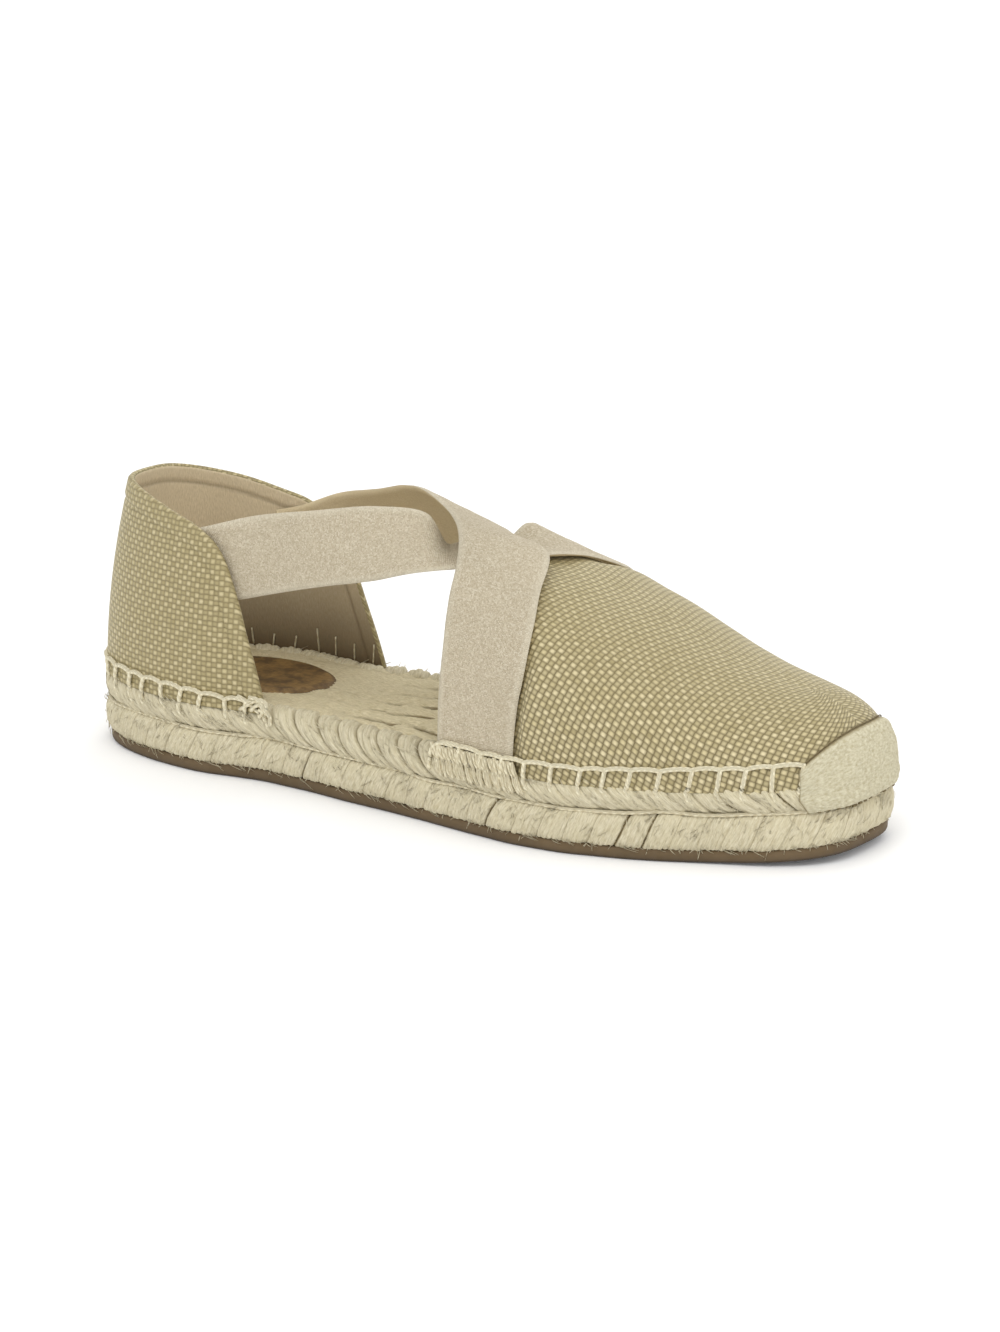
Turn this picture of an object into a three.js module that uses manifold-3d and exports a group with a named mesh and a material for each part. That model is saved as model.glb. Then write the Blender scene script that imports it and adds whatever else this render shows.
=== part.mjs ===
// Espadrille, right shoe: a woven toe vamp, a woven heel counter and two crossed elastic straps on a
// braided jute sole with a thin rubber outsole. Millimetres, +X to the toe, +Y to the inner side of the
// foot, +Z up. The origin lies on the ground, half way along the length.
import * as THREE from "three";
import { mergeVertices } from "three/addons/utils/BufferGeometryUtils.js";
import Module from "manifold-3d";

const wasm = await Module();
wasm.setup();

// Sole sizes
const shoeLength = 251;
const ballWidth = 86;
const toeSpring = 2.5;
const rubberThickness = 3.7;
const rubberEdgeRadius = 1.2;
const lowerRowHeight = 9.6;
const upperRowHeight = 7;
const bedHeight = 1.4;
const ropeBulge = 1.3;
const braidPitch = 7.2;
const braidDepth = 0.45;
const braidLean = 3.2;

// Upper sizes
const clothWall = 1.8;
const clothOut = 0.9;
const instepHeight = 88;
const counterHeight = 81;
const counterLean = 7.3;
const collarTilt = 0.06;
const counterSkew = 0.06;
const strapThickness = 1.4;
const bumperThickness = 2;
const labelThickness = 0.6;
const clearance = 0.3;

// "cutReach" is how far a body used for a cut reaches past what it cuts, as a share of that form's
// length or height. "strapTuck" is the room between the counter's wall and a strap's end behind it,
// "facetRoom" the bumper's distance from the cloth as a share of the clearance, and "bumperEdge" the
// thickness of the bumper's top edge as a share of its thickness.
const cutReach = 0.06;
const strapTuck = 0.5;
const facetRoom = 1.2;
const bumperEdge = 0.6;

// Steps of the curved forms
const cornersPerBraid = 2;
const vampStations = 26;
const vampSectionSteps = 9;
const counterStations = 44;
const counterLevels = 7;
const strapSteps = 30;
const strapColumns = 3;
const bumperStations = 30;
const throatSteps = 24;
const labelCorners = 36;

// Heights worked out from the sizes
const halfLength = shoeLength / 2;
const halfBall = ballWidth / 2;
const ropeFoot = rubberThickness + clearance;
const crease = ropeFoot + lowerRowHeight;
const shoulder = crease + upperRowHeight;
const bed = shoulder + bedHeight;
const clothFoot = shoulder + clearance;
const instepRise = instepHeight - clothFoot;
const counterRise = counterHeight - clothFoot;

// Outline of the rubber seen from above: "at" is a share of the length from the heel, "half" and
// "centre" are shares of half the ball width. The ends are closed by rounded corners.
const outlineTable = [
  { at: 0, half: 0.82, centre: 0 },
  { at: 0.17, half: 0.82, centre: 0 },
  { at: 0.24, half: 0.735, centre: 0 },
  { at: 0.3, half: 0.71, centre: 0 },
  { at: 0.4, half: 0.77, centre: 0 },
  { at: 0.5, half: 0.845, centre: 0.005 },
  { at: 0.6, half: 0.95, centre: 0.015 },
  { at: 0.68, half: 1.01, centre: 0.035 },
  { at: 0.75, half: 1, centre: 0.07 },
  { at: 0.82, half: 0.95, centre: 0.11 },
  { at: 0.88, half: 0.905, centre: 0.155 },
  { at: 0.94, half: 0.895, centre: 0.18 },
  { at: 1, half: 0.86, centre: 0.19 },
];
const heelSquareness = 3;
const toeSquareness = 3.2;
const springStart = 0.8;

// Side of the rope rows: "up" is a share of the row's height, "out" a share of the rope's bulge.
const lowerRowTable = [
  { up: 0, out: -0.5 },
  { up: 0.1, out: 0.45 },
  { up: 0.36, out: 0.95 },
  { up: 0.66, out: 1 },
  { up: 0.9, out: 0.5 },
  { up: 1, out: -0.1 },
];
const upperRowTable = [
  { up: 0.13, out: 0.45 },
  { up: 0.45, out: 0.95 },
  { up: 0.8, out: 0.85 },
  { up: 1, out: 0.6 },
];

// Crest of the vamp: "at" is a share of the length, "up" a share of the instep's rise and
// "squareness" the exponent of the rounded section.
const crestTable = [
  { at: 0.5, up: 0.79, squareness: 2.8 },
  { at: 0.6, up: 0.765, squareness: 2.8 },
  { at: 0.69, up: 0.67, squareness: 2.55 },
  { at: 0.77, up: 0.545, squareness: 2.35 },
  { at: 0.82, up: 0.465, squareness: 2.3 },
  { at: 0.88, up: 0.395, squareness: 2.15 },
  { at: 0.92, up: 0.36, squareness: 2.05 },
];
const crestBend = 0.8;
const crestEnd = 0.92;
const vampRear = 0.5;

// Rear edge of the vamp seen from above: "across" is a share of half the ball width.
const throatTable = [
  { across: 0, at: 0.578 },
  { across: 0.25, at: 0.596 },
  { across: 0.56, at: 0.631 },
  { across: 0.74, at: 0.644 },
  { across: 0.86, at: 0.634 },
  { across: 1.1, at: 0.616 },
];

// Front and top edge of the heel counter seen from the side: "up" is a share of the counter's rise.
const counterTable = [
  { at: 0.28, up: 0 },
  { at: 0.273, up: 0.1 },
  { at: 0.264, up: 0.22 },
  { at: 0.252, up: 0.36 },
  { at: 0.241, up: 0.49 },
  { at: 0.231, up: 0.59 },
  { at: 0.22, up: 0.685 },
  { at: 0.204, up: 0.77 },
  { at: 0.177, up: 0.835 },
  { at: 0.143, up: 0.875 },
  { at: 0.1, up: 0.92 },
  { at: 0.05, up: 0.96 },
  { at: 0, up: 0.99 },
];
const counterFront = 0.335;
const counterLeanPower = 2;

// Rows of a strap from the sole's edge over the instep to the counter. Each edge has a place along
// the length, across (a share of half the ball width, positive on the side where the strap is sewn to
// the sole) and up (a share of the instep's rise). The first and last rows are set by sole and counter.
const overStrapTable = [
  { rear: { at: 0.536, across: 0.85, up: 0.27 }, front: { at: 0.647, across: 0.9, up: 0.25 } },
  { rear: { at: 0.534, across: 0.775, up: 0.48 }, front: { at: 0.651, across: 0.84, up: 0.435 } },
  { rear: { at: 0.529, across: 0.665, up: 0.66 }, front: { at: 0.65, across: 0.715, up: 0.62 } },
  { rear: { at: 0.521, across: 0.49, up: 0.803 }, front: { at: 0.637, across: 0.52, up: 0.728 } },
  { rear: { at: 0.503, across: 0.325, up: 0.91 }, front: { at: 0.61, across: 0.16, up: 0.825 } },
  { rear: { at: 0.465, across: 0.175, up: 0.975 }, front: { at: 0.53, across: -0.19, up: 0.802 } },
  { rear: { at: 0.407, across: 0, up: 1 }, front: { at: 0.478, across: -0.42, up: 0.778 } },
  { rear: { at: 0.319, across: -0.27, up: 0.902 }, front: { at: 0.38, across: -0.54, up: 0.63 } },
  { rear: { at: 0.247, across: -0.46, up: 0.82 }, front: { at: 0.3, across: -0.585, up: 0.53 } },
];
const underStrapTable = [
  { rear: { at: 0.53, across: 0.86, up: 0.27 }, front: { at: 0.636, across: 0.93, up: 0.25 } },
  { rear: { at: 0.53, across: 0.77, up: 0.48 }, front: { at: 0.644, across: 0.87, up: 0.435 } },
  { rear: { at: 0.525, across: 0.65, up: 0.643 }, front: { at: 0.639, across: 0.74, up: 0.61 } },
  { rear: { at: 0.512, across: 0.477, up: 0.825 }, front: { at: 0.623, across: 0.4, up: 0.731 } },
  { rear: { at: 0.495, across: 0.23, up: 0.735 }, front: { at: 0.605, across: 0.05, up: 0.798 } },
  { rear: { at: 0.481, across: 0, up: 0.8 }, front: { at: 0.565, across: -0.23, up: 0.785 } },
  { rear: { at: 0.469, across: -0.15, up: 0.795 }, front: { at: 0.514, across: -0.44, up: 0.755 } },
  { rear: { at: 0.456, across: -0.27, up: 0.941 }, front: { at: 0.462, across: -0.53, up: 0.715 } },
  { rear: { at: 0.403, across: -0.4, up: 0.965 }, front: { at: 0.415, across: -0.59, up: 0.665 } },
  { rear: { at: 0.324, across: -0.5, up: 0.918 }, front: { at: 0.352, across: -0.615, up: 0.61 } },
  { rear: { at: 0.241, across: -0.505, up: 0.85 }, front: { at: 0.285, across: -0.6, up: 0.54 } },
];
const strapFoot = { rear: 0.54, front: 0.65 };
const overStrapEnds = [
  { rear: { at: 0.175, up: 0.79 }, front: { at: 0.238, up: 0.5 } },
  { rear: { at: 0.14, up: 0.75 }, front: { at: 0.203, up: 0.46 } },
];
const underStrapEnds = [
  { rear: { at: 0.175, up: 0.865 }, front: { at: 0.24, up: 0.545 } },
  { rear: { at: 0.14, up: 0.825 }, front: { at: 0.205, up: 0.505 } },
];

// Toe bumper: how far it reaches back on each side and how high it stands at its ends and its middle.
const bumperReach = 0.98;
const bumperFoot = crease + 0.6;
const bumperEndTop = 32;
const bumperMiddleTop = 38;
const bumperRopeLevels = 3;
const bumperClothLevels = 5;

// Oval label on the bed at the heel
const labelMiddle = 0.19;
const labelLength = 48;
const labelWidth = 34;

// A smooth curve through one column of a table, read at a value of its key column.
function curve(table, column, key) {
  const rising = table[0][key] < table[table.length - 1][key];
  const rows = rising ? table : [...table].reverse();
  const xs = rows.map((row) => row[key]);
  const ys = rows.map((row) => row[column]);
  const slopes = xs.map((x, i) => {
    const a = Math.max(i - 1, 0);
    const b = Math.min(i + 1, xs.length - 1);
    return (ys[b] - ys[a]) / (xs[b] - xs[a]);
  });
  return (value) => {
    const x = Math.min(Math.max(value, xs[0]), xs[xs.length - 1]);
    let i = 0;
    while (i < xs.length - 2 && x > xs[i + 1]) i++;
    const width = xs[i + 1] - xs[i];
    const t = (x - xs[i]) / width;
    const a = ys[i] + slopes[i] * width * t;
    const b = ys[i + 1] - slopes[i + 1] * width * (1 - t);
    const blend = t * t * (3 - 2 * t);
    return a * (1 - blend) + b * blend;
  };
}

const outlineHalf = curve(outlineTable, "half", "at");
const outlineCentre = curve(outlineTable, "centre", "at");
const crestUp = curve(crestTable, "up", "at");
const crestSquareness = curve(crestTable, "squareness", "at");
const throatAt = curve(throatTable, "at", "across");

const alongX = (share) => (share - 0.5) * shoeLength;
const shareOf = (x) => x / shoeLength + 0.5;

// Height of the ground side above the floor: flat from the heel to the ball, then the toe spring.
function lift(x) {
  const past = Math.max(0, (shareOf(x) - springStart) / (1 - springStart));
  return toeSpring * past * past;
}

// A point of the rubber's outline at an angle: 0 at the toe, a quarter turn at the inner side.
function outlineAt(angle) {
  const along = Math.cos(angle);
  const squareness = along > 0 ? toeSquareness : heelSquareness;
  const closure = Math.pow(Math.max(0, 1 - Math.pow(Math.abs(along), squareness)), 1 / squareness);
  const share = (along + 1) / 2;
  const side = Math.sign(Math.sin(angle));
  const half = halfBall * outlineHalf(share) * closure;
  return [halfLength * along, halfBall * outlineCentre(share) + side * half];
}

// The same outline moved out by a distance along its normal.
function outline(angle, out) {
  const step = 0.002;
  const [x, y] = outlineAt(angle);
  const [ax, ay] = outlineAt(angle - step);
  const [bx, by] = outlineAt(angle + step);
  const length = Math.hypot(bx - ax, by - ay);
  return [x + (out * (by - ay)) / length, y - (out * (bx - ax)) / length];
}

// Angles at even steps of the way round, the same on both sides of the foot.
const wayTable = [];
const waySamples = 1600;
let halfWay = 0;
for (let i = 0; i <= waySamples; i++) {
  const angle = (Math.PI * i) / waySamples;
  if (i > 0) {
    const before = (Math.PI * (i - 1)) / waySamples;
    for (const side of [1, -1]) {
      const [ax, ay] = outlineAt(side * before);
      const [bx, by] = outlineAt(side * angle);
      halfWay += Math.hypot(bx - ax, by - ay) / 2;
    }
  }
  wayTable.push(halfWay);
}

function angleAt(way) {
  const turns = way - Math.floor(way);
  const target = 2 * Math.min(turns, 1 - turns) * halfWay;
  let low = 0;
  let high = waySamples;
  while (high - low > 1) {
    const middle = (low + high) >> 1;
    if (wayTable[middle] < target) low = middle;
    else high = middle;
  }
  const part = (target - wayTable[low]) / (wayTable[high] - wayTable[low]);
  const angle = (Math.PI * (low + part)) / waySamples;
  return turns <= 0.5 ? angle : 2 * Math.PI - angle;
}

// Angle of the outline, on the inner side, at a share of the length.
const angleOfShare = (share) => Math.acos(2 * share - 1);

// A closed solid through rings with the same number of points. Ring point i lies across from its
// mirror, counted from the other end, so both end faces are strips of narrow quads.
function loft(rings) {
  const count = rings[0].length;
  const triangles = [];
  const index = (ring, i) => ring * count + (i % count);
  for (let ring = 0; ring < rings.length - 1; ring++) {
    for (let i = 0; i < count; i++) {
      const [a, b] = [index(ring, i), index(ring, i + 1)];
      const [c, d] = [index(ring + 1, i + 1), index(ring + 1, i)];
      triangles.push([a, b, c], [a, c, d]);
    }
  }
  const last = rings.length - 1;
  for (let i = 0; i < count / 2 - 1; i++) {
    const [j, k] = [count - 2 - i, count - 1 - i];
    triangles.push([index(0, k), index(0, i + 1), index(0, i)], [index(0, k), index(0, j), index(0, i + 1)]);
    triangles.push([index(last, i), index(last, i + 1), index(last, k)]);
    triangles.push([index(last, i + 1), index(last, j), index(last, k)]);
  }
  return closedGeometry(rings.flat(), triangles);
}

// Geometry with shared corners merged, faces out and triangles without area left out.
function closedGeometry(points, triangles) {
  let volume = 0;
  for (const [a, b, c] of triangles) {
    const [p, q, r] = [points[a], points[b], points[c]];
    volume += p[0] * (q[1] * r[2] - q[2] * r[1]) + p[1] * (q[2] * r[0] - q[0] * r[2]);
    volume += p[2] * (q[0] * r[1] - q[1] * r[0]);
  }
  const order = volume < 0 ? triangles.map(([a, b, c]) => [a, c, b]) : triangles;
  const geometry = new THREE.BufferGeometry();
  geometry.setAttribute("position", new THREE.Float32BufferAttribute(points.flat(), 3));
  geometry.setIndex(order.flat());
  const merged = mergeVertices(geometry);
  const kept = [];
  const old = merged.getIndex().array;
  for (let i = 0; i < old.length; i += 3) {
    const [a, b, c] = [old[i], old[i + 1], old[i + 2]];
    if (a !== b && b !== c && c !== a) kept.push(a, b, c);
  }
  merged.setIndex(kept);
  return merged;
}

function toSolid(geometry) {
  return new wasm.Manifold(
    new wasm.Mesh({
      numProp: 3,
      vertProperties: new Float32Array(geometry.getAttribute("position").array),
      triVerts: new Uint32Array(geometry.getIndex().array),
    }),
  );
}

function toGeometry(solid) {
  const mesh = solid.getMesh();
  const geometry = new THREE.BufferGeometry();
  geometry.setAttribute("position", new THREE.BufferAttribute(new Float32Array(mesh.vertProperties), 3));
  geometry.setIndex(new THREE.BufferAttribute(new Uint32Array(mesh.triVerts), 1));
  return geometry;
}

// A prism over a closed outline of [u, v] points, from low to high along the third axis of "place".
function prism(corners, low, high, place) {
  const shape = new THREE.Shape(corners.map(([u, v]) => new THREE.Vector2(u, v)));
  const geometry = new THREE.ExtrudeGeometry(shape, { depth: high - low, bevelEnabled: false });
  geometry.translate(0, 0, low);
  if (place) geometry.applyMatrix4(place);
  geometry.deleteAttribute("normal");
  geometry.deleteAttribute("uv");
  return toSolid(mergeVertices(geometry));
}

// Rubber outsole: a sheet with a rounded lower edge.
function outsole() {
  const corners = braidCorners() / 2;
  const levels = [
    { up: 0, out: -rubberEdgeRadius },
    { up: 0.3 * rubberEdgeRadius, out: -0.3 * rubberEdgeRadius },
    { up: rubberEdgeRadius, out: 0 },
    { up: rubberThickness, out: 0 },
  ];
  const rings = levels.map(({ up, out }) => soleRing(corners, up, out, () => 0, 0));
  return loft(rings);
}

const braidCorners = () => 2 * Math.round(halfWay / braidPitch) * cornersPerBraid;

// A ring round the sole at a height, moved out from the outline, with a rib on every second corner.
// The corners move along the edge by "lean", so the ribs slant.
function soleRing(corners, up, out, rib, lean) {
  const ring = [];
  for (let i = 0; i < corners; i++) {
    const angle = angleAt((i + 0.5) / corners + lean / (2 * halfWay));
    const [x, y] = outline(angle, out + rib(i));
    ring.push([x, y, up + lift(x)]);
  }
  return ring;
}

// Jute sole: two braided rope rows with a crease between them, a shoulder that carries the cloth and
// the raised bed inside it.
function juteSole() {
  const corners = braidCorners();
  const ribOf = (depth) => (i) => (i % cornersPerBraid === 0 ? depth : -depth);
  const rings = [];
  for (const { up, out } of lowerRowTable) {
    const depth = braidDepth * Math.max(0, out);
    const lean = up * braidLean;
    rings.push(soleRing(corners, ropeFoot + up * lowerRowHeight, out * ropeBulge, ribOf(depth), lean));
  }
  for (const { up, out } of upperRowTable) {
    const depth = braidDepth * (up < 1 ? out : 0);
    const lean = (1 - up) * braidLean;
    rings.push(soleRing(corners, crease + up * upperRowHeight, out * ropeBulge, ribOf(depth), lean));
  }
  const bedOut = clothOut - clothWall - 2 * clearance;
  rings.push(soleRing(corners, shoulder, bedOut, () => 0, 0));
  rings.push(soleRing(corners, bed, bedOut, () => 0, 0));
  return loft(rings);
}

// Crest point over a station of the vamp: past the bend the crest is drawn together, so the toe
// closes as a dome.
function crestPoint(share, inset) {
  const span = 1 - crestBend;
  const past = Math.max(0, (share - crestBend) / span);
  const reach = crestEnd - crestBend;
  const crestShare = past > 0 ? crestBend + reach * (1 - Math.pow(1 - past, span / reach)) : share;
  const y = halfBall * outlineCentre(share);
  return [alongX(crestShare), y, clothFoot + instepRise * crestUp(crestShare) - inset, crestShare];
}

// A point of the vamp's outer face: side is 1 on the inner side of the foot, turn runs from 0 at the
// foot of the cloth to 1 on the crest.
function vampPoint(share, side, turn, inset) {
  const [footX, footY] = outline(side * angleOfShare(share), clothOut - inset);
  const [crestX, crestY, crestZ, crestShare] = crestPoint(share, inset);
  const power = 2 / crestSquareness(crestShare);
  const out = Math.pow(Math.cos((turn * Math.PI) / 2), power);
  const up = Math.pow(Math.sin((turn * Math.PI) / 2), power);
  const footZ = clothFoot + lift(footX);
  return [crestX + (footX - crestX) * out, crestY + (footY - crestY) * out, footZ + (crestZ - footZ) * up];
}

// The same face read at a height instead of a turn.
function vampPointAtHeight(share, side, z, inset) {
  const [, , crestZ, crestShare] = crestPoint(share, inset);
  const [footX] = outline(side * angleOfShare(share), clothOut - inset);
  const footZ = clothFoot + lift(footX);
  const up = Math.min(1, Math.max(0, (z - footZ) / (crestZ - footZ)));
  const turn = (Math.asin(Math.pow(up, crestSquareness(crestShare) / 2)) * 2) / Math.PI;
  return vampPoint(share, side, turn, inset);
}

// Stations of the vamp along its length, closer together where the toe rounds over.
function vampShares(rear) {
  const shares = [];
  const start = angleOfShare(rear);
  for (let i = 0; i <= vampStations; i++) {
    const angle = start * (1 - i / vampStations);
    shares.push((Math.cos(angle) + 1) / 2);
  }
  return shares;
}

// A solid under the vamp's face, open to nothing: the wall is what one such solid has more than another.
function vampBody(inset, rear, skirt) {
  const turns = Array.from({ length: vampSectionSteps + 1 }, (_, i) => i / vampSectionSteps);
  const halfSection = (share, side) => {
    const points = turns.map((turn) => vampPoint(share, side, turn, inset));
    const [x, y, z] = points[0];
    return [[x, y, z - skirt], ...points];
  };
  const rings = vampShares(rear).map((share) => {
    return [...halfSection(share, -1), ...halfSection(share, 1).reverse()];
  });
  return toSolid(loft(rings));
}

// Toe vamp: a hollow wall, open underneath, at the back and along its throat under the straps.
function vamp() {
  const outer = vampBody(0, vampRear, 0);
  const inner = vampBody(clothWall, vampRear - cutReach, bedHeight);
  const corners = [];
  const widest = throatTable[throatTable.length - 1].across;
  for (let i = -throatSteps / 2; i <= throatSteps / 2; i++) {
    const across = (2 * widest * i) / throatSteps;
    corners.push([alongX(throatAt(Math.abs(across))), across * halfBall]);
  }
  const behind = alongX(vampRear - cutReach);
  corners.push([behind, widest * halfBall], [behind, -widest * halfBall]);
  const throat = prism(corners, 0, instepHeight + strapThickness);
  const wall = outer.subtract(inner).subtract(throat);
  const room = [overStrap(clearance, 2 * clothWall), underStrap(clearance, 2 * clothWall)];
  return toGeometry(room.reduce((rest, strap) => rest.subtract(toSolid(strap)), wall));
}

const counterLeanAt = (up) => counterLean * Math.pow(Math.max(0, up), counterLeanPower);

function wayOf(angle) {
  const place = (angle / Math.PI) * waySamples;
  const i = Math.min(waySamples - 1, Math.floor(place));
  return (wayTable[i] + (wayTable[i + 1] - wayTable[i]) * (place - i)) / (2 * halfWay);
}

function counterBody(inset, front, low, high) {
  const start = wayOf(angleOfShare(front));
  const rings = [];
  for (let level = 0; level <= counterLevels; level++) {
    const up = low + ((high - low) * level) / counterLevels;
    const ring = [];
    for (let i = 0; i < counterStations; i++) {
      const angle = angleAt(start + ((1 - 2 * start) * i) / (counterStations - 1));
      const [x, y] = outline(angle, clothOut - inset - counterLeanAt(up));
      ring.push([x, y, clothFoot + up * counterRise]);
    }
    rings.push(ring);
  }
  return toSolid(loft(rings));
}

// Heel counter: a hollow wall round the heel, cut to its front and top edge.
function heelCounter() {
  const outer = counterBody(0, counterFront, 0, 1 + cutReach);
  const inner = counterBody(clothWall, counterFront + cutReach, -cutReach, 1 + 2 * cutReach);
  const edge = new THREE.SplineCurve(
    counterTable.map(({ at, up }) => new THREE.Vector2(alongX(at), clothFoot + up * counterRise)),
  );
  const corners = edge.getPoints(3 * counterTable.length).map(({ x, y }) => [x, y]);
  const above = clothFoot + (1 + 3 * cutReach) * counterRise;
  const behind = alongX(-cutReach);
  const before = alongX(counterFront + cutReach);
  const top = corners[corners.length - 1][1];
  corners.unshift([before, 0], [corners[0][0], 0]);
  corners.push([behind, top], [behind, above], [before, above]);
  const sideways = new THREE.Matrix4().makeRotationX(Math.PI / 2);
  const tilt = new THREE.Matrix4().makeShear(0, 0, counterSkew, -collarTilt, 0, 0);
  const front = prism(corners, -ballWidth, ballWidth, tilt.multiply(sideways));
  return toGeometry(outer.subtract(inner).subtract(front));
}

// Rows of a strap's two edges. The foot stands on the sole's shoulder outside the vamp, the end lies
// against the inside of the counter on the other side.
function strapEdges(table, ends, side) {
  const place = ({ at, across, up }) => {
    return new THREE.Vector3(alongX(at), side * across * halfBall, clothFoot + up * instepRise);
  };
  const foot = (share) => {
    const [x, y] = outline(side * angleOfShare(share), clothOut);
    return new THREE.Vector3(x, y, clothFoot);
  };
  const inside = ({ at, up }) => {
    const depth = clothWall + strapTuck + strapThickness / 2 + counterLeanAt(up);
    const [x, y] = outline(-side * angleOfShare(at), clothOut - depth);
    return new THREE.Vector3(x, y, clothFoot + up * counterRise);
  };
  return ["rear", "front"].map((edge) => {
    const rows = table.map((row) => place(row[edge]));
    return [foot(strapFoot[edge]), ...rows, ...ends.map((row) => inside(row[edge]))];
  });
}

// Elastic strap: a flat band between its two edges. "room" makes it larger all round and "cover"
// makes its outer face stand further out.
function strapBody(table, ends, side, room, cover) {
  const [rear, front] = strapEdges(table, ends, side).map((points) => new THREE.CatmullRomCurve3(points));
  const half = strapThickness / 2 + room;
  const rings = [];
  for (let i = 0; i <= strapSteps; i++) {
    const t = i / strapSteps;
    const [a, b] = [rear.getPoint(t), front.getPoint(t)];
    const across = b.clone().sub(a).normalize();
    const along = rear.getTangent(t).add(front.getTangent(t)).normalize();
    const normal = across.clone().cross(along).normalize().multiplyScalar(-side);
    const stretch = room * ((i === strapSteps ? 1 : 0) - (i === 0 ? 1 : 0));
    a.addScaledVector(across, -room).addScaledVector(along, stretch);
    b.addScaledVector(across, room).addScaledVector(along, stretch);
    const ring = [];
    for (let column = 0; column <= strapColumns; column++) {
      ring.push(a.clone().lerp(b, column / strapColumns));
    }
    const outer = ring.map((point) => point.clone().addScaledVector(normal, half + cover).toArray());
    const inner = ring.map((point) => point.clone().addScaledVector(normal, -half).toArray());
    rings.push([...outer, ...inner.reverse()]);
  }
  return loft(rings);
}

const overStrap = (room, cover) => strapBody(overStrapTable, overStrapEnds, -1, room, cover);
const underStrap = (room, cover) => strapBody(underStrapTable, underStrapEnds, 1, room, cover);

// Toe bumper: a jute tape that follows the upper rope row and then the foot of the vamp.
function toeBumper() {
  const ropeOut = curve(upperRowTable, "out", "up");
  const reach = angleOfShare(bumperReach);
  const rings = [];
  for (let i = 0; i <= bumperStations; i++) {
    const angle = reach * ((2 * i) / bumperStations - 1);
    const share = (Math.cos(angle) + 1) / 2;
    const side = angle < 0 ? -1 : 1;
    const [x, y] = outlineAt(angle);
    const [nearX, nearY] = outline(angle, 1);
    const [outX, outY] = [nearX - x, nearY - y];
    const top = bumperMiddleTop + (bumperEndTop - bumperMiddleTop) * Math.pow(angle / reach, 2);
    const inner = [];
    const outer = [];
    for (let level = 0; level <= bumperRopeLevels + bumperClothLevels; level++) {
      const onRope = level <= bumperRopeLevels;
      const ropeShare = level / bumperRopeLevels;
      const clothShare = (level - bumperRopeLevels) / bumperClothLevels;
      const rest = onRope ? bumperFoot + (clothFoot - bumperFoot) * ropeShare : clothFoot;
      const z = rest + lift(x) + (onRope ? 0 : (top - rest - lift(x)) * clothShare);
      const [clothX, clothY] = vampPointAtHeight(share, side, z, -facetRoom * clearance);
      const clothSide = (clothX - x) * outX + (clothY - y) * outY;
      const ropeSide = ropeOut((rest - crease) / upperRowHeight) * ropeBulge + braidDepth + clearance;
      const push = onRope ? ropeSide - clothSide : 0;
      const thickness = bumperThickness * (clothShare < 1 ? 1 : bumperEdge);
      inner.push([clothX + outX * push, clothY + outY * push, z]);
      outer.push([clothX + outX * (push + thickness), clothY + outY * (push + thickness), z]);
    }
    rings.push([...inner, ...outer.reverse()]);
  }
  return loft(rings);
}

// Oval label that lies on the bed at the heel.
function heelLabel() {
  const ringAt = (z) => {
    const ring = [];
    for (let i = 0; i < labelCorners; i++) {
      const angle = (2 * Math.PI * (i + 0.5)) / labelCorners;
      const x = alongX(labelMiddle) + (labelLength / 2) * Math.cos(angle);
      ring.push([x, (labelWidth / 2) * Math.sin(angle), z]);
    }
    return ring;
  };
  return loft([ringAt(bed + clearance), ringAt(bed + clearance + labelThickness)]);
}

const finish = (color, roughness, metalness = 0) => {
  return new THREE.MeshStandardMaterial({ color, roughness, metalness, flatShading: true });
};
const rubber = finish(0x6e583a, 0.75);
const jute = finish(0xd0c6a2, 0.95);
const goldCloth = finish(0xafa070, 0.55, 0.35);
const elastic = finish(0xcdc3ac, 0.9);
const juteTape = finish(0xd7cfb4, 0.95);
const labelCloth = finish(0xbe9b64, 0.6);

const espadrille = new THREE.Group();

function addPiece(name, geometry, material) {
  const mesh = new THREE.Mesh(geometry, material);
  mesh.name = name;
  espadrille.add(mesh);
}

addPiece("outsole", outsole(), rubber);
addPiece("jute_sole", juteSole(), jute);
addPiece("vamp", vamp(), goldCloth);
addPiece("heel_counter", heelCounter(), goldCloth);
addPiece("strap_under", underStrap(0, 0), elastic);
addPiece("strap_over", overStrap(0, 0), elastic);
addPiece("toe_bumper", toeBumper(), juteTape);
addPiece("heel_label", heelLabel(), labelCloth);

export default espadrille;
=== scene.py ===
# Looks of an espadrille, right shoe: woven gold toe piece and heel counter, crossed elastic straps, a
# braided jute sole with blanket stitching and a thin rubber outsole. The forms follow the solids of the
# frame. Sizes are in millimetres until a mesh is made: +X to the toe, +Y to the inner side, +Z up.
import math

import bpy
import numpy as np
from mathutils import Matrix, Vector
from mathutils.bvhtree import BVHTree


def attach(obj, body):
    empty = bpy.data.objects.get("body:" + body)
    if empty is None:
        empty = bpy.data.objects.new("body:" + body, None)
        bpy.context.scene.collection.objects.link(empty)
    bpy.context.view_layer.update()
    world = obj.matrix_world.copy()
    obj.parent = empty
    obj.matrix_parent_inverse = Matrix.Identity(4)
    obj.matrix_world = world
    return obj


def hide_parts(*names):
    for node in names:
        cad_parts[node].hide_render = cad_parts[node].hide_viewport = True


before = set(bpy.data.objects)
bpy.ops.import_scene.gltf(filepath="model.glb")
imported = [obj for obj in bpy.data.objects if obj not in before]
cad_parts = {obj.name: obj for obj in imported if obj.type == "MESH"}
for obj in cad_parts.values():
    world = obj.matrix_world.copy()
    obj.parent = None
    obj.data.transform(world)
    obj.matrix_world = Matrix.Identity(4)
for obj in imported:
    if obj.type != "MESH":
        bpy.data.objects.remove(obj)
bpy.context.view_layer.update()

MM = 0.001

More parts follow.
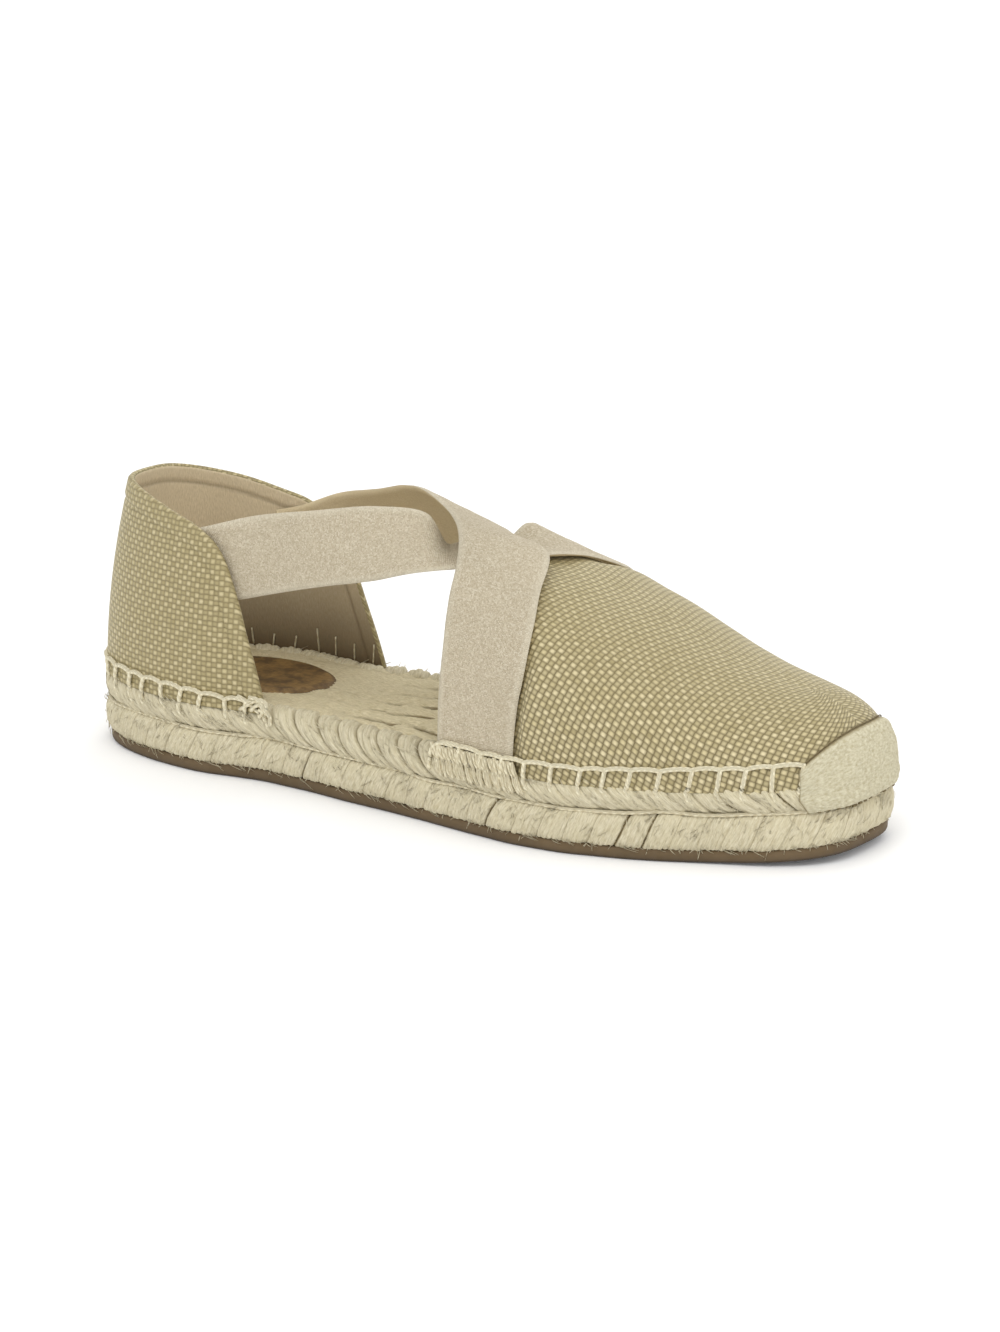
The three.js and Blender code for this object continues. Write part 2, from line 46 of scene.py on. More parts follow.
# Sole
SHOE_LENGTH = 251.0
BALL_WIDTH = 86.0
TOE_SPRING = 2.5
TOE_PADDING = 1.0
RUBBER_THICKNESS = 3.7
RUBBER_EDGE = 1.2
CREASE = 13.6
BED = 22.0
BED_INSET = 4.5
ROPE_PITCH = 8.0
BRAID_ROWS = 6.4
BRAID_PITCH = 9.0
CLOTH_FOOT = 20.9

# Upper
WALL = 1.8
CLOTH_OUT = 0.9
INSTEP_HEIGHT = 88.0
COUNTER_HEIGHT = 81.0
COUNTER_LEAN = 7.3
COUNTER_LEAN_POWER = 2.0
COLLAR_TILT = 0.06
COUNTER_SKEW = 0.06
STRAP = 1.4
STRAP_TUCK = 0.5
STRAP_PRESS = 0.45
HEM = 5.2
LINING_SEAM = 4.4
TOE_LINING = WALL * 0.8
HEEL_LINING = WALL * 0.85
INSTEP_RISE = INSTEP_HEIGHT - CLOTH_FOOT
COUNTER_RISE = COUNTER_HEIGHT - CLOTH_FOOT

HALF_LENGTH = SHOE_LENGTH / 2
HALF_BALL = BALL_WIDTH / 2

# Threads
STITCH_RADIUS = 0.7
STITCH_LINE = 26.0
NEAR_STITCH_START = 0.532
FAR_STITCH_START = 0.53
TOE_STITCH_RISE = 2.6
COUNTER_STITCH_FALL = 1.8
KNOT_SIZE = 0.8
STITCH_PITCH = 8.0
HEEL_STITCH_PITCH = 7.4

# Pitch of the cloth's threads, across and along, and how far the toe's cross threads lean forward.
TOE_THREAD = (1.59, 1.86)
TOE_THREAD_LEAN = 0.27
TOE_THREAD_BEND = 10.0
HEEL_THREAD = (1.7, 1.52)

# Outline of the rubber seen from above: share of the length, half width and centre as shares of half
# the ball width.
OUTLINE = [
    (0, 0.82, 0), (0.17, 0.82, 0), (0.24, 0.735, 0), (0.3, 0.71, 0), (0.4, 0.77, 0), (0.5, 0.845, 0.005),
    (0.6, 0.95, 0.015), (0.68, 1.01, 0.035), (0.75, 1, 0.07), (0.82, 0.95, 0.11), (0.88, 0.905, 0.155),
    (0.94, 0.895, 0.18), (1, 0.86, 0.19),
]
HEEL_SQUARENESS = 3.0
TOE_SQUARENESS = 3.2
SPRING_START = 0.8

# Side of the sole: distance out from the outline and height, from the rubber up and over the edge.
LOWER_ROW = [(-1.2, 3.6), (0.2, 4.2), (1.0, 6.0), (1.3, 8.8), (1.1, 11.4), (0.3, 13.0), (-0.9, 13.7)]
UPPER_ROW = [
    (-0.9, 13.5), (0.3, 14.4), (1.1, 16.2), (1.2, 18.2), (0.7, 20.0), (-0.4, 21.4), (-2.4, 22.4),
    (-4.6, 22.6), (-6.6, 21.8), (-7.6, 20.6),
]

# Crest of the vamp: share of the length, height as a share of the instep's rise, section exponent.
CREST = [
    (0.5, 0.79, 2.8), (0.6, 0.765, 2.8), (0.69, 0.67, 2.55), (0.77, 0.545, 2.35), (0.82, 0.465, 2.3),
    (0.88, 0.395, 2.15), (0.92, 0.36, 2.05),
]
CREST_BEND = 0.8
CREST_END = 0.92
CLOTH_START = 0.7

# Rear edge of the vamp from above: share of half the ball width, share of the length.
THROAT = [(0, 0.574), (0.25, 0.592), (0.56, 0.626), (0.74, 0.639), (0.86, 0.629), (1.1, 0.611)]

# Front and top edge of the heel counter from the side: share of the length, share of the rise.
COUNTER_EDGE = [
    (0.28, 0), (0.273, 0.1), (0.264, 0.22), (0.252, 0.36), (0.241, 0.49), (0.231, 0.59), (0.22, 0.685),
    (0.204, 0.77), (0.177, 0.835), (0.143, 0.875), (0.1, 0.92), (0.05, 0.96), (0, 0.99),
]

# Rows of a strap from the sole over the instep to the counter: rear edge, then front edge, each as
# share of the length, share of half the ball width and share of the instep's rise.
OVER_STRAP = [
    ((0.536, 0.85, 0.27), (0.647, 0.9, 0.25)), ((0.534, 0.775, 0.48), (0.651, 0.84, 0.435)),
    ((0.529, 0.665, 0.66), (0.65, 0.715, 0.62)), ((0.521, 0.49, 0.803), (0.637, 0.52, 0.728)),
    ((0.503, 0.325, 0.91), (0.61, 0.16, 0.825)), ((0.465, 0.175, 0.975), (0.53, -0.19, 0.802)),
    ((0.407, 0, 1), (0.478, -0.42, 0.778)), ((0.319, -0.27, 0.902), (0.38, -0.54, 0.63)),
    ((0.247, -0.46, 0.82), (0.3, -0.585, 0.53)),
]
UNDER_STRAP = [
    ((0.53, 0.86, 0.27), (0.636, 0.93, 0.25)), ((0.53, 0.77, 0.48), (0.644, 0.87, 0.435)),
    ((0.525, 0.65, 0.643), (0.639, 0.74, 0.61)), ((0.512, 0.477, 0.825), (0.623, 0.4, 0.731)),
    ((0.495, 0.23, 0.735), (0.605, 0.05, 0.798)), ((0.481, 0, 0.8), (0.565, -0.23, 0.785)),
    ((0.469, -0.15, 0.795), (0.514, -0.44, 0.755)), ((0.456, -0.27, 0.941), (0.462, -0.53, 0.715)),
    ((0.403, -0.4, 0.965), (0.415, -0.59, 0.665)), ((0.324, -0.5, 0.918), (0.352, -0.615, 0.61)),
    ((0.241, -0.505, 0.85), (0.285, -0.6, 0.54)),
]
STRAP_FOOT = (0.54, 0.65)
OVER_ENDS = [((0.175, 0.79), (0.238, 0.5)), ((0.14, 0.75), (0.203, 0.46))]
UNDER_ENDS = [((0.175, 0.865), (0.24, 0.545)), ((0.14, 0.825), (0.205, 0.505))]

# Toe bumper
BUMPER_MIDDLE = 2.0
BUMPER_SPAN = 28.5
BUMPER_FOOT = CREASE + 0.6
BUMPER_END_TOP = 28.6
BUMPER_MIDDLE_TOP = 36.8
BUMPER_THICKNESS = 2.0

# Label
LABEL_MIDDLE = 0.19
LABEL_LENGTH = 48.0
LABEL_WIDTH = 34.0
LABEL_TOP = BED + 1.1

# Camera at the photograph's angle, and the lamps: place in metres, then power in watts.
VIEW_AZIMUTH = 33
VIEW_ELEVATION = 16
VIEW_DISTANCE = 2200.0
VIEW_TARGET = (0.01, 9.62, 35.0)
LENS = 203.73
LAMP_SIZE = 0.9
LAMPS = {
    "key_lamp": ((0.3, -0.8, 1.2), 5.0),
    "fill_lamp": ((1.1, -0.2, 0.6), 1.5),
    "back_lamp": ((-0.2, 1.0, 1.0), 2.5),
}
FLOOR_HALF = 3.0

# Values in a row of random numbers that doesn't close on itself.
KNOTS = 4096


# Curves of the shoe

def smooth_step(value):
    value = np.clip(value, 0, 1)
    return value * value * (3 - 2 * value)


def unit(vectors):
    """Vectors of length 1 along the last axis."""
    return vectors / np.maximum(np.linalg.norm(vectors, axis=-1, keepdims=True), 1e-9)


def run_along(path, axis=0):
    """Distance to each point from the start of a path, or of each line of a grid along an axis."""
    steps = np.linalg.norm(np.diff(path, axis=axis), axis=-1)
    return np.insert(np.cumsum(steps, axis=axis), 0, 0.0, axis=axis)


def bell(value, middle, width):
    return np.exp(-((value - middle) / width) ** 2)


def fraction(value):
    return value - np.floor(value)


def out_at(profile, height):
    """Distance out from the outline, at a height, of a rope row's side."""
    outs, heights = zip(*profile)
    return np.interp(height, heights, outs)


def curve(rows, column):
    """A smooth curve through one column of a table, read at values of its first column."""
    rows = sorted(rows)
    xs = np.array([row[0] for row in rows], float)
    ys = np.array([row[column] for row in rows], float)
    last = len(xs) - 1
    low = np.maximum(np.arange(last + 1) - 1, 0)
    high = np.minimum(np.arange(last + 1) + 1, last)
    slopes = (ys[high] - ys[low]) / (xs[high] - xs[low])

    def read(values):
        x = np.clip(values, xs[0], xs[-1])
        i = np.clip(np.searchsorted(xs, x) - 1, 0, last - 1)
        width = xs[i + 1] - xs[i]
        t = (x - xs[i]) / width
        a = ys[i] + slopes[i] * width * t
        b = ys[i + 1] - slopes[i + 1] * width * (1 - t)
        blend = smooth_step(t)
        return a * (1 - blend) + b * blend

    return read


outline_half = curve(OUTLINE, 1)
outline_centre = curve(OUTLINE, 2)
crest_up = curve(CREST, 1)
crest_squareness = curve(CREST, 2)
throat_at = curve(THROAT, 1)


def along_x(share):
    return (share - 0.5) * SHOE_LENGTH


def share_of(x):
    return x / SHOE_LENGTH + 0.5


def lift(x):
    """Height of the ground side above the floor: flat to the ball, then the toe spring."""
    past = np.maximum(0, (share_of(x) - SPRING_START) / (1 - SPRING_START))
    return TOE_SPRING * past * past


def share_at(angle):
    """Share of the length at an angle of the outline."""
    return (np.cos(angle) + 1) / 2


def padding(x, y):
    """Extra thickness of the jute near the toe on the outer side."""
    return TOE_PADDING * smooth_step((share_of(x) - 0.64) / 0.2) * smooth_step((10 - y) / 25)


def stitch_height(way):
    """Height of the blanket stitch: it rises to the toe and falls to the front of the counter."""
    share = share_at(angle_at(way))
    rise = TOE_STITCH_RISE * smooth_step((share - 0.66) / 0.34)
    return STITCH_LINE + rise - COUNTER_STITCH_FALL * smooth_step((share - 0.08) / 0.2) * (share < 0.5)


def outline_at(angle):
    """The rubber's outline at an angle: 0 at the toe, a quarter turn at the inner side."""
    along = np.cos(angle)
    squareness = np.where(along > 0, TOE_SQUARENESS, HEEL_SQUARENESS)
    closure = np.maximum(0, 1 - np.abs(along) ** squareness) ** (1 / squareness)
    share = share_at(angle)
    half = HALF_BALL * outline_half(share) * closure
    return HALF_LENGTH * along, HALF_BALL * outline_centre(share) + np.sign(np.sin(angle)) * half


def outward(angle):
    """Unit normal of the outline at an angle, as its two parts."""
    step = 0.002
    ax, ay = outline_at(angle - step)
    bx, by = outline_at(angle + step)
    length = np.hypot(bx - ax, by - ay)
    return (by - ay) / length, (ax - bx) / length


def outline(angle, out):
    """The outline moved out by a distance along its normal."""
    x, y = outline_at(angle)
    nx, ny = outward(angle)
    return x + out * nx, y + out * ny


WAY_ANGLES = np.linspace(0, 2 * math.pi, 4001)
WAYS = run_along(np.stack(outline_at(WAY_ANGLES), -1))
PERIMETER = WAYS[-1]


def angle_at(way):
    """Angle at a distance round the edge: from the toe along the inner side to the heel and back."""
    return np.interp(np.mod(way, PERIMETER), WAYS, WAY_ANGLES)


def way_of(angle):
    return np.interp(np.mod(angle, 2 * math.pi), WAY_ANGLES, WAYS)


def angle_of_share(share):
    return np.arccos(np.clip(2 * share - 1, -1, 1))


def smooth_noise(values, period, seed, repeat=None):
    """Soft random values between -1 and 1 along a line, with one knot for each period."""
    count = int(round(repeat / period)) if repeat else KNOTS
    knots = np.random.default_rng(seed).uniform(-1, 1, count)
    place = values / (repeat / count if repeat else period)
    i = np.floor(place).astype(int)
    blend = smooth_step(place - i)
    return knots[i % count] * (1 - blend) + knots[(i + 1) % count] * blend


def lobe_value(index, seed, low, high):
    """A random value for each numbered lobe."""
    values = np.random.default_rng(seed).uniform(low, high, KNOTS)
    return values[np.mod(index, KNOTS)]


# Forms of the upper

def crest_point(share, inset):
    """A point of the vamp's crest, which ends before the toe's tip, and the share its height is read at."""
    span = 1 - CREST_BEND
    past = np.maximum(0, (share - CREST_BEND) / span)
    reach = CREST_END - CREST_BEND
    bent = CREST_BEND + reach * (1 - np.maximum(0, 1 - past) ** (span / reach))
    crest_share = np.where(past > 0, bent, share)
    y = HALF_BALL * outline_centre(share)
    return along_x(crest_share), y, CLOTH_FOOT + INSTEP_RISE * crest_up(crest_share) - inset, crest_share


def vamp_point(share, side, turn, inset):
    """The vamp's face: side is 1 on the inner side, turn runs from 0 at the foot to 1 on the crest."""
    foot_x, foot_y = outline(side * angle_of_share(share), CLOTH_OUT - inset)
    crest_x, crest_y, crest_z, crest_share = crest_point(share, inset)
    power = 2 / crest_squareness(crest_share)
    out = np.maximum(0, np.cos(turn * math.pi / 2)) ** power
    up = np.maximum(0, np.sin(turn * math.pi / 2)) ** power
    foot_z = CLOTH_FOOT + lift(foot_x)
    x = crest_x + (foot_x - crest_x) * out
    y = crest_y + (foot_y - crest_y) * out
    return np.stack(np.broadcast_arrays(x, y, foot_z + (crest_z - foot_z) * up), -1)


def vamp_turn_at(share, side, z, inset):
    """The turn at which the vamp's face reaches a height."""
    _, _, crest_z, crest_share = crest_point(share, inset)
    foot_x, _ = outline(side * angle_of_share(share), CLOTH_OUT - inset)
    foot_z = CLOTH_FOOT + lift(foot_x)
    up = np.clip((z - foot_z) / (crest_z - foot_z), 0, 1)
    return np.arcsin(up ** (crest_squareness(crest_share) / 2)) * 2 / math.pi


def counter_point(angle, up, inset):
    """The counter's face, which leans in towards its top: up is a share of its rise."""
    lean = COUNTER_LEAN * np.maximum(0, up) ** COUNTER_LEAN_POWER
    x, y = outline(angle, CLOTH_OUT - inset - lean)
    return np.stack(np.broadcast_arrays(x, y, CLOTH_FOOT + up * COUNTER_RISE), -1)


def spline(points, samples):
    """A centripetal curve through points, read at even steps of its parameter."""
    points = np.asarray(points, float)
    gaps = np.diff(points, axis=0)
    steps = np.maximum(np.linalg.norm(gaps, axis=1) ** 0.5, 1e-4)[:, None]
    rates = gaps / steps
    wide = (points[2:] - points[:-2]) / (steps[1:] + steps[:-1])
    slopes = np.concatenate([rates[:1], rates[:-1] - wide + rates[1:], rates[-1:]])
    place = np.linspace(0, len(points) - 1, samples)
    i = np.minimum(place.astype(int), len(points) - 2)
    t = (place - i)[:, None]
    width = steps[i]
    h00 = 2 * t**3 - 3 * t**2 + 1
    h10 = t**3 - 2 * t**2 + t
    h01 = 3 * t**2 - 2 * t**3
    h11 = t**3 - t**2
    return h00 * points[i] + h10 * width * slopes[i] + h01 * points[i + 1] + h11 * width * slopes[i + 1]


def strap_edges(table, ends, side):
    """Points of a strap's rear and front edge, from the sole to the inside of the counter."""
    depth = WALL + STRAP_TUCK + STRAP / 2
    edges = []
    for edge in (0, 1):
        x, y = outline(side * angle_of_share(STRAP_FOOT[edge]), CLOTH_OUT)
        points = [(float(x), float(y), CLOTH_FOOT)]
        for row in table:
            at, across, up = row[edge]
            points.append((along_x(at), side * across * HALF_BALL, CLOTH_FOOT + up * INSTEP_RISE))
        for row in ends:
            at, up = row[edge]
            points.append(tuple(counter_point(-side * angle_of_share(at), up, depth)))
        edges.append(points)
    return edges


# Meshes

def new_mesh(name, points, faces, uv, tone=None, materials=(), face_materials=None):
    """An object from points in millimetres. uv holds one pair and tone one value for each point."""
    mesh = bpy.data.meshes.new(name)
    mesh.from_pydata((np.asarray(points) * MM).tolist(), [], [list(map(int, f)) for f in faces])
    layer = mesh.uv_layers.new(name="cloth")
    corners = np.empty(len(mesh.loops), np.int32)
    mesh.loops.foreach_get("vertex_index", corners)
    layer.data.foreach_set("uv", np.asarray(uv, np.float32)[corners].ravel())
    if tone is not None:
        attribute = mesh.attributes.new("tone", "FLOAT", "POINT")
        attribute.data.foreach_set("value", np.asarray(tone, np.float32).ravel())
    for material in materials:
        mesh.materials.append(material)
    if face_materials is not None:
        mesh.polygons.foreach_set("material_index", np.asarray(face_materials, np.int32))
    mesh.polygons.foreach_set("use_smooth", [True] * len(mesh.polygons))
    mesh.update()
    piece = bpy.data.objects.new(name, mesh)
    bpy.context.scene.collection.objects.link(piece)
    return piece


def grid_faces(rows, columns, closed_rows=False, closed_columns=False, offset=0, flip=False):
    """Quads of a grid whose point (i, j) has the number i * columns + j."""
    i = np.arange(rows if closed_rows else rows - 1)
    j = np.arange(columns if closed_columns else columns - 1)
    i, j = np.meshgrid(i, j, indexing="ij")
    i2, j2 = (i + 1) % rows, (j + 1) % columns
    quads = np.stack([i * columns + j, i2 * columns + j, i2 * columns + j2, i * columns + j2], -1)
    quads = quads.reshape(-1, 4) + offset
    return quads[:, ::-1] if flip else quads


def joining_faces(lines):
    """Quads between neighbouring lines of point numbers."""
    lines = np.asarray(lines)
    return list(lines.ravel()[grid_faces(*lines.shape)])


def grid_normals(points):
    """Unit normals of a grid of points, along (row direction) x (column direction)."""
    return unit(np.cross(np.gradient(points, axis=0), np.gradient(points, axis=1)))


def tube(path, radius, sides, taper):
    """Points and faces of a round thread along a path, thinner at its two ends by a share of its radius."""
    tangent = unit(np.gradient(path, axis=0))
    guide = np.array([0.31, 0.17, 0.94])
    normal = unit(np.cross(tangent, guide))
    binormal = np.cross(tangent, normal)
    turns = np.linspace(0, 2 * math.pi, sides, endpoint=False)[None, :, None]
    size = np.full(len(path), float(radius))
    size[[0, -1]] *= 1 - taper
    ring = np.cos(turns) * normal[:, None] + np.sin(turns) * binormal[:, None]
    points = path[:, None] + ring * size[:, None, None]
    faces = grid_faces(len(path), sides, closed_columns=True)
    caps = [list(range(sides)), list(range((len(path) - 1) * sides, len(path) * sides))[::-1]]
    return points.reshape(-1, 3), list(faces) + caps


def threads(name, paths, radius, material, sides=6, taper=0.0):
    """One object made of many threads. The cloth place of each starts further along than the one before."""
    points, faces, along = [], [], []
    count = 0
    turn = np.arange(sides) / sides
    apart = 17.0
    for number, path in enumerate(paths):
        path = np.asarray(path, float)
        size = radius[number] if isinstance(radius, list) else radius
        ring_points, ring_faces = tube(path, size, sides, taper)
        faces.extend([[v + count for v in face] for face in ring_faces])
        points.append(ring_points)
        u = np.repeat(run_along(path), sides) + apart * number
        along.append(np.stack([u, np.tile(turn, len(path))], -1))
        count += len(ring_points)
    return new_mesh(name, np.concatenate(points), faces, uv=np.concatenate(along), materials=[material])


# Materials

class Nodes:
    """A short way to write a node material."""

    def __init__(self, name):
        self.material = bpy.data.materials.new(name)
        self.material.use_nodes = True
        self.tree = self.material.node_tree
        self.shader = self.tree.nodes["Principled BSDF"]

    def add(self, kind, inputs=None, **settings):
        node = self.tree.nodes.new(kind)
        for key, value in settings.items():
            setattr(node, key, value)
        for key, value in (inputs or {}).items():
            self.put(node.inputs[key], value)
        return node

    def put(self, socket, value):
        if isinstance(value, bpy.types.NodeSocket):
            self.tree.links.new(value, socket)
        elif isinstance(value, tuple) and len(value) == 3 and socket.type == "RGBA":
            socket.default_value = (*value, 1)
        else:
            socket.default_value = value

    def math(self, operation, a, b=0.0):
        node = self.add("ShaderNodeMath", operation=operation)
        self.put(node.inputs[0], a)
        self.put(node.inputs[1], b)
        return node.outputs[0]

    def times(self, a, b):
        return self.math("MULTIPLY", a, b)

    def plus(self, a, b):
        return self.math("ADD", a, b)

    def minus(self, a, b):
        return self.math("SUBTRACT", a, b)

    def over(self, a, b):
        return self.math("DIVIDE", a, b)

    def mix(self, factor, a, b):
        node = self.add("ShaderNodeMix", data_type="RGBA")
        self.put(node.inputs[0], factor)
        self.put(node.inputs[6], a)
        self.put(node.inputs[7], b)
        return node.outputs[2]

    def ramp(self, value, low, high, to_low=0.0, to_high=1.0):
        node = self.add("ShaderNodeMapRange", {"Value": value, "From Min": low, "From Max": high,
                                               "To Min": to_low, "To Max": to_high})
        return node.outputs[0]

    def noise(self, vector, scale, detail=3.0, roughness=0.5):
        node = self.add("ShaderNodeTexNoise", {"Vector": vector, "Scale": scale, "Detail": detail,
                                               "Roughness": roughness})
        return node.outputs[0]

    def parts(self, vector):
        return self.add("ShaderNodeSeparateXYZ", {"Vector": vector}).outputs[:2]

    def cell_chance(self, column, row):
        """A random value for each cell of a grid."""
        cell = self.add("ShaderNodeCombineXYZ", {"X": column, "Y": row}).outputs[0]
        return self.add("ShaderNodeTexWhiteNoise", {"Vector": cell}, noise_dimensions="2D").outputs[0]

    def uv(self):
        return self.add("ShaderNodeUVMap", uv_map="cloth").outputs[0]

    def tone(self):
        return self.add("ShaderNodeAttribute", attribute_name="tone").outputs["Fac"]

    def place(self):
        return self.add("ShaderNodeTexCoord").outputs["Object"]

    def scaled(self, vector, scale):
        return self.add("ShaderNodeMapping", {"Vector": vector, "Scale": scale}).outputs[0]

    def bump(self, height, distance, strength):
        node = self.add("ShaderNodeBump", {"Height": height, "Distance": distance, "Strength": strength})
        return node.outputs[0]

    def finish(self, colour, roughness, normal=None, **sockets):
        self.put(self.shader.inputs["Base Color"], colour)
        self.put(self.shader.inputs["Roughness"], roughness)
        if normal is not None:
            self.put(self.shader.inputs["Normal"], normal)
        for name, value in sockets.items():
            self.put(self.shader.inputs[name.replace("_", " ")], value)
        return self.material


def srgb(red, green, blue):
    """A colour given in display values from 0 to 255."""
    def linear(value):
        value /= 255
        return value / 12.92 if value < 0.04045 else ((value + 0.055) / 1.055) ** 2.4
    return (linear(red), linear(green), linear(blue))


def gold_weave(name, pitch, uneven, even_share, fade):
    """Plain weave of flat metallic threads with dark gaps at the corners of each crossing.

    Every other crossing is bright, and the others are as bright as even_share says. The colours fade
    towards one plain gold. Where tone is 1 the dots get a painted highlight and the gaps painted shade,
    for the glint of the metal threads; towards tone 0 the contrast is flatter.
    """
    n = Nodes(name)
    uv = n.uv()
    across, along = n.parts(uv)
    shift = n.times(n.minus(n.noise(uv, 0.3, 2.0), 0.5), 0.15 + uneven)
    u = n.plus(n.over(across, pitch[0]), shift)
    v = n.plus(n.over(along, pitch[1]), shift)
    column = n.math("FLOOR", u)
    row = n.math("FLOOR", v)
    odd = n.math("FLOORED_MODULO", n.plus(column, row), 2.0)
    in_u = n.times(n.minus(n.math("FRACT", u), 0.5), 0.9)
    in_v = n.minus(n.math("FRACT", v), 0.5)

    def thread(across, along):
        flat = n.math("POWER", n.math("ABSOLUTE", n.times(across, 2.05)), 2.4)
        arch = n.math("COSINE", n.times(along, 2.6))
        return n.times(n.math("MAXIMUM", n.minus(1.0, flat), 0.0), n.math("MAXIMUM", arch, 0.0))

    top = n.times(thread(in_u, in_v), odd)
    under = n.times(n.times(thread(in_v, in_u), n.minus(1.0, odd)), 0.8)
    height = n.plus(top, under)
    chance = n.cell_chance(column, row)
    patch = n.noise(uv, 0.07, 2.0)
    # tone paints a highlight on the dots and shade in the gaps, full where it is 1
    low = n.tone()
    base = n.mix(n.ramp(patch, 0.35, 0.65), srgb(138, 124, 81), srgb(146, 133, 90))
    dot_painted_glint = n.mix(n.ramp(chance, 0.0, 1.0), srgb(202, 188, 144), srgb(222, 209, 170))
    dot_high = n.mix(n.ramp(chance, 0.0, 1.0), srgb(182, 168, 126), srgb(198, 185, 144))
    dot = n.mix(low, dot_high, dot_painted_glint)
    shine = n.ramp(odd, 0.0, 1.0, even_share, 1.0)
    shine = n.times(shine, n.ramp(chance, 0.0, 0.9 * uneven + 0.05, 0.6, 1.0))
    bright = n.mix(shine, base, dot)
    gap = n.mix(low, srgb(112, 99, 58), srgb(84, 72, 38))
    colour = n.mix(n.ramp(height, 0.1, 0.9), gap, bright)
    colour = n.mix(fade, colour, srgb(170, 156, 113))
    return n.finish(colour, 0.5, n.bump(height, 0.00035, 0.8), Metallic=0.2, Sheen_Weight=0.2,
                    Sheen_Roughness=0.4, Sheen_Tint=(0.95, 0.87, 0.62, 1))


def woven_lining():
    """Soft lining cloth, with painted shade towards the sole where tone is 0."""
    n = Nodes("lining")
    fine = n.noise(n.scaled(n.uv(), (1.6, 0.5, 1)), 1.4, 3.0)
    patch = n.noise(n.uv(), 0.05, 2.0)
    colour = n.mix(n.ramp(fine, 0.35, 0.7), srgb(208, 192, 160), srgb(226, 210, 180))
    colour = n.mix(n.ramp(patch, 0.3, 0.75, 0, 0.35), colour, srgb(194, 178, 148))
    # Painted shade: the lining turns dark brown where tone is low.
    colour = n.mix(n.tone(), srgb(92, 76, 50), colour)
    return n.finish(colour, 0.9, n.bump(fine, 0.0003, 0.5))


def elastic_linen(name, back_shade_tint):
    """Heathered elastic: small cells of pale and brown yarn in fine ribs, with a warmer painted shade tint
    on its back.
    """
    yarn, rib_pitch = 0.42, 0.5
    n = Nodes(name)
    uv = n.uv()
    along, across = n.parts(uv)
    chance = n.cell_chance(n.math("FLOOR", n.over(along, yarn)), n.math("FLOOR", n.over(across, yarn)))
    fleck = n.noise(n.scaled(uv, (3.0, 4.2, 1)), 1.0, 2.0, 0.65)
    slub = n.noise(n.scaled(uv, (0.9, 0.25, 1)), 1.0, 2.0, 0.5)
    colour = n.mix(n.ramp(fleck, 0.36, 0.66), srgb(177, 163, 137), srgb(206, 196, 172))
    colour = n.mix(n.ramp(chance, 0.55, 1.0, 0, 0.5), colour, srgb(156, 140, 113))
    colour = n.mix(n.ramp(chance, 0.0, 0.3, 0.5, 0), colour, srgb(222, 214, 194))
    colour = n.mix(n.ramp(slub, 0.5, 0.75, 0, 0.15), colour, srgb(181, 169, 145))
    colour = n.mix(n.times(n.tone(), 0.5), colour, srgb(216, 208, 186))
    # Painted shade: a warmer tint for the strap's shaded back.
    colour = n.mix(back_shade_tint, colour, srgb(226, 204, 158))
    rib = n.math("SINE", n.times(along, 2 * math.pi / rib_pitch))
    height = n.plus(n.times(chance, 0.8), n.times(rib, 0.35))
    return n.finish(colour, 0.88, n.bump(height, 0.0003, 0.7))


def jute_fibre(name, pale, dark, strand_scale):
    """Straw-coloured fibre: tone is 0 in the crevices, which get painted shade, and 1 on the strands."""
    n = Nodes(name)
    uv = n.uv()
    streak = n.noise(n.scaled(uv, strand_scale), 1.0, 4.0, 0.68)
    patch = n.noise(uv, 0.16, 3.0)
    matted = n.noise(uv, 1.1, 4.0, 0.7)
    strand = n.mix(n.ramp(streak, 0.34, 0.66), dark, pale)
    strand = n.mix(n.ramp(patch, 0.35, 0.7, 0, 0.4), strand, srgb(212, 202, 168))
    strand = n.mix(n.ramp(matted, 0.5, 0.74, 0, 0.35), strand, srgb(186, 174, 138))
    # Painted shade in the crevices, where tone is low.
    colour = n.mix(n.ramp(n.tone(), 0.08, 0.62), srgb(124, 108, 72), strand)
    return n.finish(colour, 0.92, n.bump(n.plus(streak, n.times(matted, 0.5)), 0.0007, 0.8))


def plain_thread(name, pale, dark, twist_pitch=1.85):
    """Twisted thread with fuzz."""
    n = Nodes(name)
    along, round_it = n.parts(n.uv())
    turns = n.plus(n.times(along, 2 * math.pi / twist_pitch), n.times(round_it, 4 * math.pi))
    twist = n.math("SINE", turns)
    fuzz = n.noise(n.place(), 900.0, 2.0)
    colour = n.mix(n.ramp(twist, -0.9, 0.5, 0.35, 1.0), dark, pale)
    colour = n.mix(n.ramp(fuzz, 0.45, 0.75, 0, 0.5), colour, dark)
    return n.finish(colour, 0.85, n.bump(n.plus(twist, fuzz), 0.0002, 0.7))


def jute_tape_weave():
    """Fine canvas of jute thread on the toe bumper."""
    pitch = 0.9
    n = Nodes("jute_tape_weave")
    uv = n.uv()
    across, along = n.parts(uv)
    chance = n.cell_chance(n.math("FLOOR", n.over(across, pitch)), n.math("FLOOR", n.over(along, pitch)))
    coarse = n.noise(n.scaled(uv, (0.8, 1.3, 1)), 1.0, 4.0, 0.65)
    colour = n.mix(n.ramp(coarse, 0.32, 0.66), srgb(180, 170, 138), srgb(212, 206, 180))
    colour = n.mix(n.ramp(chance, 0.6, 1.0, 0, 0.35), colour, srgb(166, 154, 120))
    # Painted shade at the tape's edges and on its back, where tone is low.
    colour = n.mix(n.ramp(n.tone(), 0.1, 0.7, 0.8, 0.0), colour, srgb(132, 115, 74))
    return n.finish(colour, 0.92, n.bump(n.plus(chance, coarse), 0.0006, 0.8))


